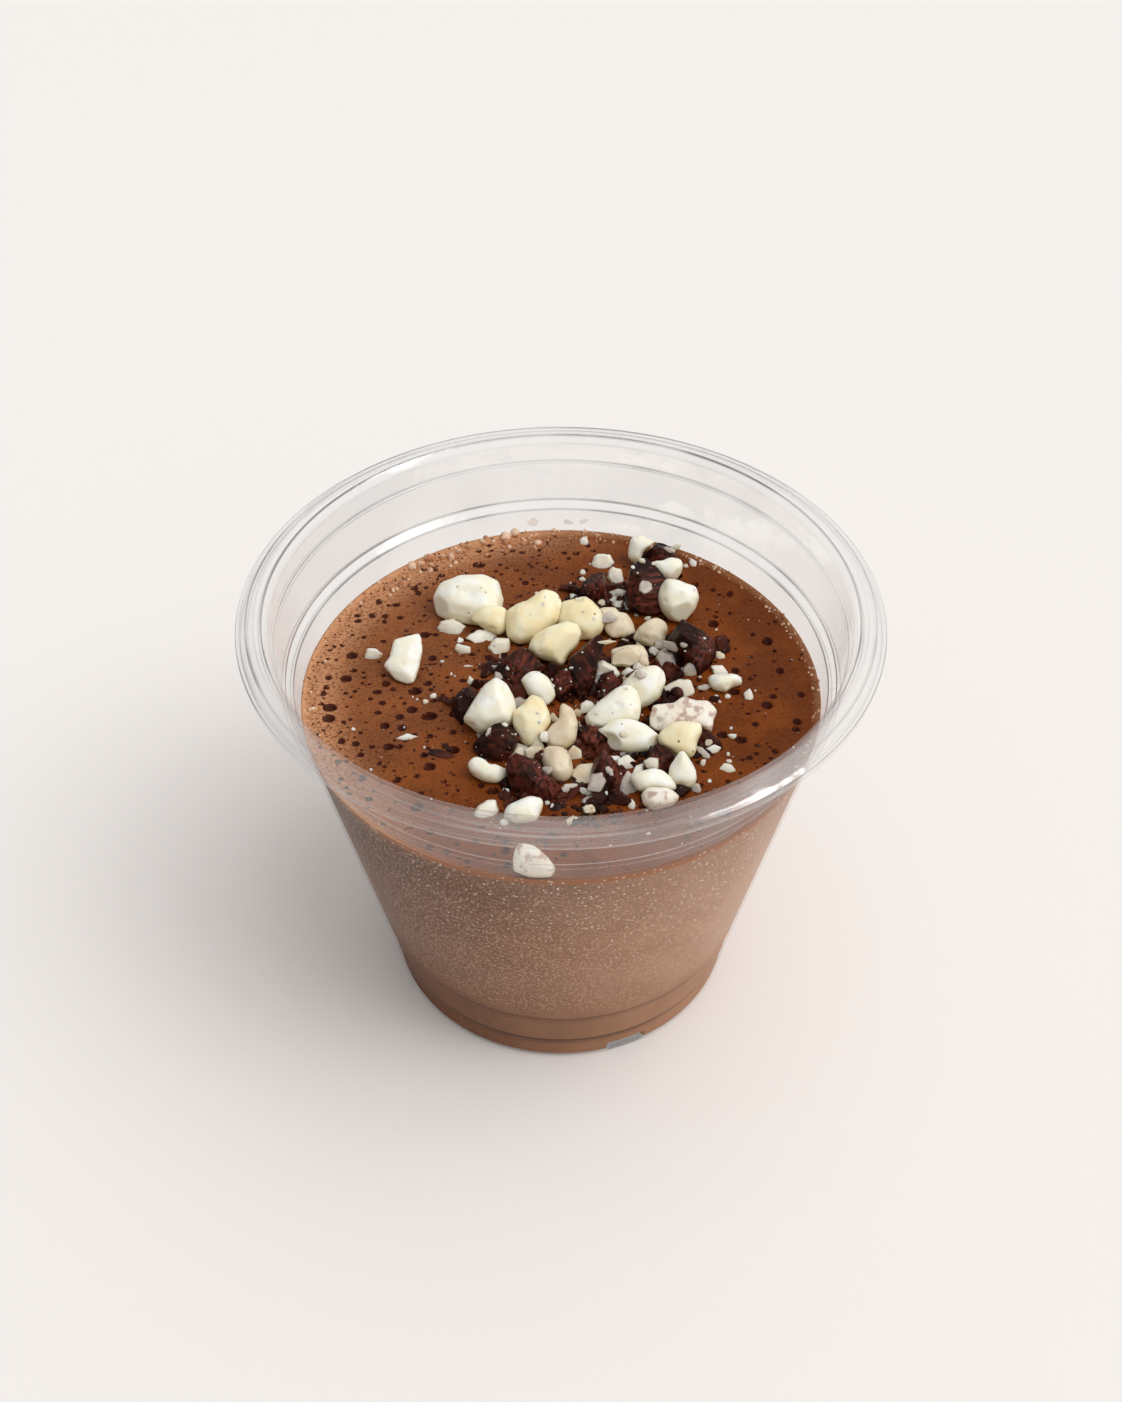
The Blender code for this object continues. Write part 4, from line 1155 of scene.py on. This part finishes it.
def make_bubbles(surfaces, finish):
    """Bubbles that stand half out of the mousse along the wall."""
    chance = random.Random(23)
    heap = Heap()
    for count, first, last, inwards, sizes in BUBBLE_BANDS:
        for _ in range(count):
            turn = math.radians(chance.uniform(first, last))
            reach = BUBBLE_REACH - inwards * chance.random() ** 1.6
            size = min(sizes[0] + chance.expovariate(3 / (sizes[1] - sizes[0])), sizes[1])
            place = drop(surfaces, reach * math.cos(turn), reach * math.sin(turn))
            if place is not None and place[2] < MOUSSE_LEVEL + 1.0:
                heap.add(CRUMB_POINTS * (size / 2) + place, CRUMB_FACES)
    heap.piece("edge_bubbles", "mousse", finish)


def add_smears(heap, rows, surfaces, chance):
    """Add thin smears lying flat on whatever is seen at their places."""
    for x, y, width, length, turn in rows:
        eye = Vector(CAMERA_PLACE)
        hit, facing = surfaces.ray_cast(eye, Vector((x, y, LAYOUT_LEVEL)) - eye)[:2]
        along = Vector((1.0, 0.0, 0.0)) - facing * facing.x
        along.normalize()
        points, faces = flake(angular_outline(width, length, turn, chance), 0.05, 0.08, chance)
        points[:, 2] = np.clip(points[:, 2], -0.05, 0.1)
        heap.add(np.array(hit) + points @ np.array([along, facing.cross(along), facing]), faces)


def make_smears(cup, mousse, finish, dark):
    """The smears on the wall and on the mousse."""
    chance = random.Random(31)
    on_wall, on_mousse = Heap(), Heap()
    add_smears(on_wall, WALL_SMEARS, surfaces_of([cup]), chance)
    add_smears(on_mousse, DARK_SMEARS, surfaces_of([mousse]), chance)
    on_wall.piece("smears_on_wall", "mousse", finish)
    on_mousse.piece("dark_smear", "dark_chocolate", dark)


def make_small_toppings(surfaces, bare, ivory, tan, grey, dark):
    """Chips and crumbs of nut and chocolate, one piece for each kind.

    The dark chips lie on the bare mousse, so that the large pieces cover them.
    """
    chance = random.Random(11)
    heaps = {name: Heap() for name in ("ivory", "tan", "grey", "dark")}
    add_chips(heaps["dark"], DARK_CHIPS, bare, chance, 0.9)
    # Dark crumbs over the beds: chocolate bits, and painted shade in the heap's gaps.
    for x, y, radius in DARK_BEDS:
        for _ in range(BED_CRUMBS // len(DARK_BEDS)):
            turn = chance.uniform(0, 2 * math.pi)
            reach = radius * math.sqrt(chance.random())
            size = chance.uniform(0.7, 2.2)
            place = (x + reach * math.cos(turn), y + reach * math.sin(turn), MOUSSE_LEVEL + size * 0.1)
            heaps["dark"].add(crumb(CRUMB_POINTS, size, chance) + place, CRUMB_FACES)
    for number in range(BED_CHIPS):
        x, y, radius = DARK_BEDS[number % len(DARK_BEDS)]
        turn = chance.uniform(0, 2 * math.pi)
        reach = radius * math.sqrt(chance.random())
        sizes = (chance.uniform(*BED_CHIP_SIZES), chance.uniform(*BED_CHIP_SIZES))
        row = (x + reach * math.cos(turn), y + reach * math.sin(turn), *sizes, chance.uniform(-60, 60))
        pale = chance.choice(("ivory", "tan", "grey"))
        kind = pale if chance.random() < PALE_SHARE else "dark"
        add_chips(heaps[kind], [row], bare, chance, 0.9)
    add_chips(heaps["tan"], TAN_CHIPS, surfaces, chance)
    add_chips(heaps["grey"], GREY_CHIPS, surfaces, chance)
    add_chips(heaps["ivory"], IVORY_CHIPS, surfaces, chance)
    for kind, outline in OUTLINED_CHIPS:
        add_outlined(heaps[kind], outline, surfaces, chance)
    for x, y, size in BALLS:
        place = seen_at(surfaces, x, y)
        heaps["dark"].add(CRUMB_POINTS * (size / 2) + place + (0, 0, size / 4), CRUMB_FACES)
    scatter(heaps["ivory"], PALE_CRUMBS, (0.16, 0.2), (13.0, 15.0), CUP_HEIGHT, surfaces, CRUMB_POINTS, chance)
    scatter(heaps["dark"], BROWN_CRUMBS, (0.2, 0.3), (11.0, 13.0), MOUSSE_LEVEL + 1.0, surfaces, CRUMB_POINTS, chance)
    heaps["ivory"].piece("ivory_chips", "pale_nut", nut("nut chips", srgb(246, 241, 229), srgb(228, 218, 197)))
    heaps["tan"].piece("tan_chips", "pale_nut", tan)
    heaps["grey"].piece("greyish_chips", "pale_nut", grey)
    heaps["dark"].piece("chocolate_bits", "dark_chocolate", dark)


# ---------------------------------------------------------------- stage, light and camera
def make_stage():
    """The floor that the cup stands on."""
    half = 3000.0
    corners = [(-half, -half, 0), (half, -half, 0), (half, half, 0), (-half, half, 0)]
    mesh = mesh_from("floor", corners, [(0, 1, 2, 3)])
    floor = bpy.data.objects.new("floor", mesh)
    bpy.context.scene.collection.objects.link(floor)
    mesh.materials.append(paper_floor())


def make_lights():
    """Soft studio light: a pale surround and one broad lamp from the right and a little behind."""
    world = bpy.data.worlds.new("studio")
    bpy.context.scene.world = world
    world.use_nodes = True
    nodes = world.node_tree.nodes
    links = world.node_tree.links
    background = nodes["Background"]
    place = nodes.new("ShaderNodeTexCoord")
    lean = nodes.new("ShaderNodeVectorMath")
    lean.operation = "DOT_PRODUCT"
    lean.inputs[1].default_value = BRIGHT_SIDE
    ramp = nodes.new("ShaderNodeValToRGB")
    links.new(place.outputs["Generated"], lean.inputs[0])
    links.new(lean.outputs["Value"], ramp.inputs[0])
    links.new(ramp.outputs[0], background.inputs["Color"])
    for element, (position, colour) in zip(ramp.color_ramp.elements, SURROUND):
        element.position = position
        element.color = colour
    background.inputs["Strength"].default_value = SURROUND_STRENGTH
    aim = nodes.new("ShaderNodeVectorMath")
    aim.operation = "DOT_PRODUCT"
    aim.inputs[1].default_value = Vector(WINDOW_SIDE).normalized()
    links.new(place.outputs["Generated"], aim.inputs[0])
    window = nodes.new("ShaderNodeMapRange")
    window.interpolation_type = "SMOOTHSTEP"
    window.inputs["From Min"].default_value, window.inputs["From Max"].default_value = WINDOW_EDGE
    window.inputs["To Max"].default_value = WINDOW_STRENGTH
    links.new(aim.outputs["Value"], window.inputs["Value"])
    glow = nodes.new("ShaderNodeBackground")
    links.new(window.outputs["Result"], glow.inputs["Strength"])
    both = nodes.new("ShaderNodeAddShader")
    links.new(background.outputs[0], both.inputs[0])
    links.new(glow.outputs[0], both.inputs[1])
    links.new(both.outputs[0], nodes["World Output"].inputs["Surface"])
    lamp = bpy.data.lights.new("key", "SUN")
    lamp.energy = KEY_STRENGTH
    lamp.angle = math.radians(KEY_SPREAD)
    lamp.color = (1.0, 0.99, 0.98)
    key = bpy.data.objects.new("key", lamp)
    bpy.context.scene.collection.objects.link(key)
    key.visible_glossy = False
    key.rotation_euler = Vector(KEY_DIRECTION).to_track_quat("-Z", "Y").to_euler()


def make_camera():
    """The camera, above the front of the cup and tilted down at it."""
    data = bpy.data.cameras.new("camera")
    data.lens = LENS
    data.sensor_width = SENSOR
    data.clip_start = CLOSEST_SEEN * MM
    camera = bpy.data.objects.new("camera", data)
    camera.location = Vector(CAMERA_PLACE) * MM
    camera.rotation_euler = (math.radians(CAMERA_TILT), 0.0, 0.0)
    bpy.context.scene.collection.objects.link(camera)
    bpy.context.scene.camera = camera


bpy.context.scene.view_settings.view_transform = "Standard"
make_camera()
make_stage()
make_lights()
CUP = make_cup(clear_plastic())
MOUSSE = make_mousse(mousse_top(), mousse_side(), random.Random(5))
IVORY = nut("ivory nut", srgb(252, 250, 240), srgb(241, 234, 208))
YELLOW = nut("yellowish nut", srgb(250, 240, 208), srgb(240, 222, 172), 0.9)
TAN = nut("tan nut", srgb(236, 223, 198), srgb(208, 188, 158))
GREY = nut("greyish nut", srgb(206, 196, 186), srgb(170, 160, 152))
STAINED = nut("stained nut", srgb(246, 240, 228), srgb(236, 224, 206), 0.9, 0.6)
DARK = chocolate("dark chocolate", 0.3)
DUSTED = chocolate("dusted chocolate", 0.8)
CRUMB_POINTS, CRUMB_FACES = crumb_shape()
LARGE = make_large_toppings(IVORY, YELLOW, TAN, STAINED, DARK, DUSTED)
SURFACES = surfaces_of([MOUSSE, *LARGE])
make_small_toppings(SURFACES, surfaces_of([MOUSSE]), IVORY, TAN, GREY, DARK)
make_bubbles(SURFACES, bubble_film())
make_smears(CUP, MOUSSE, smear_of_mousse(), chocolate("smear of chocolate"))
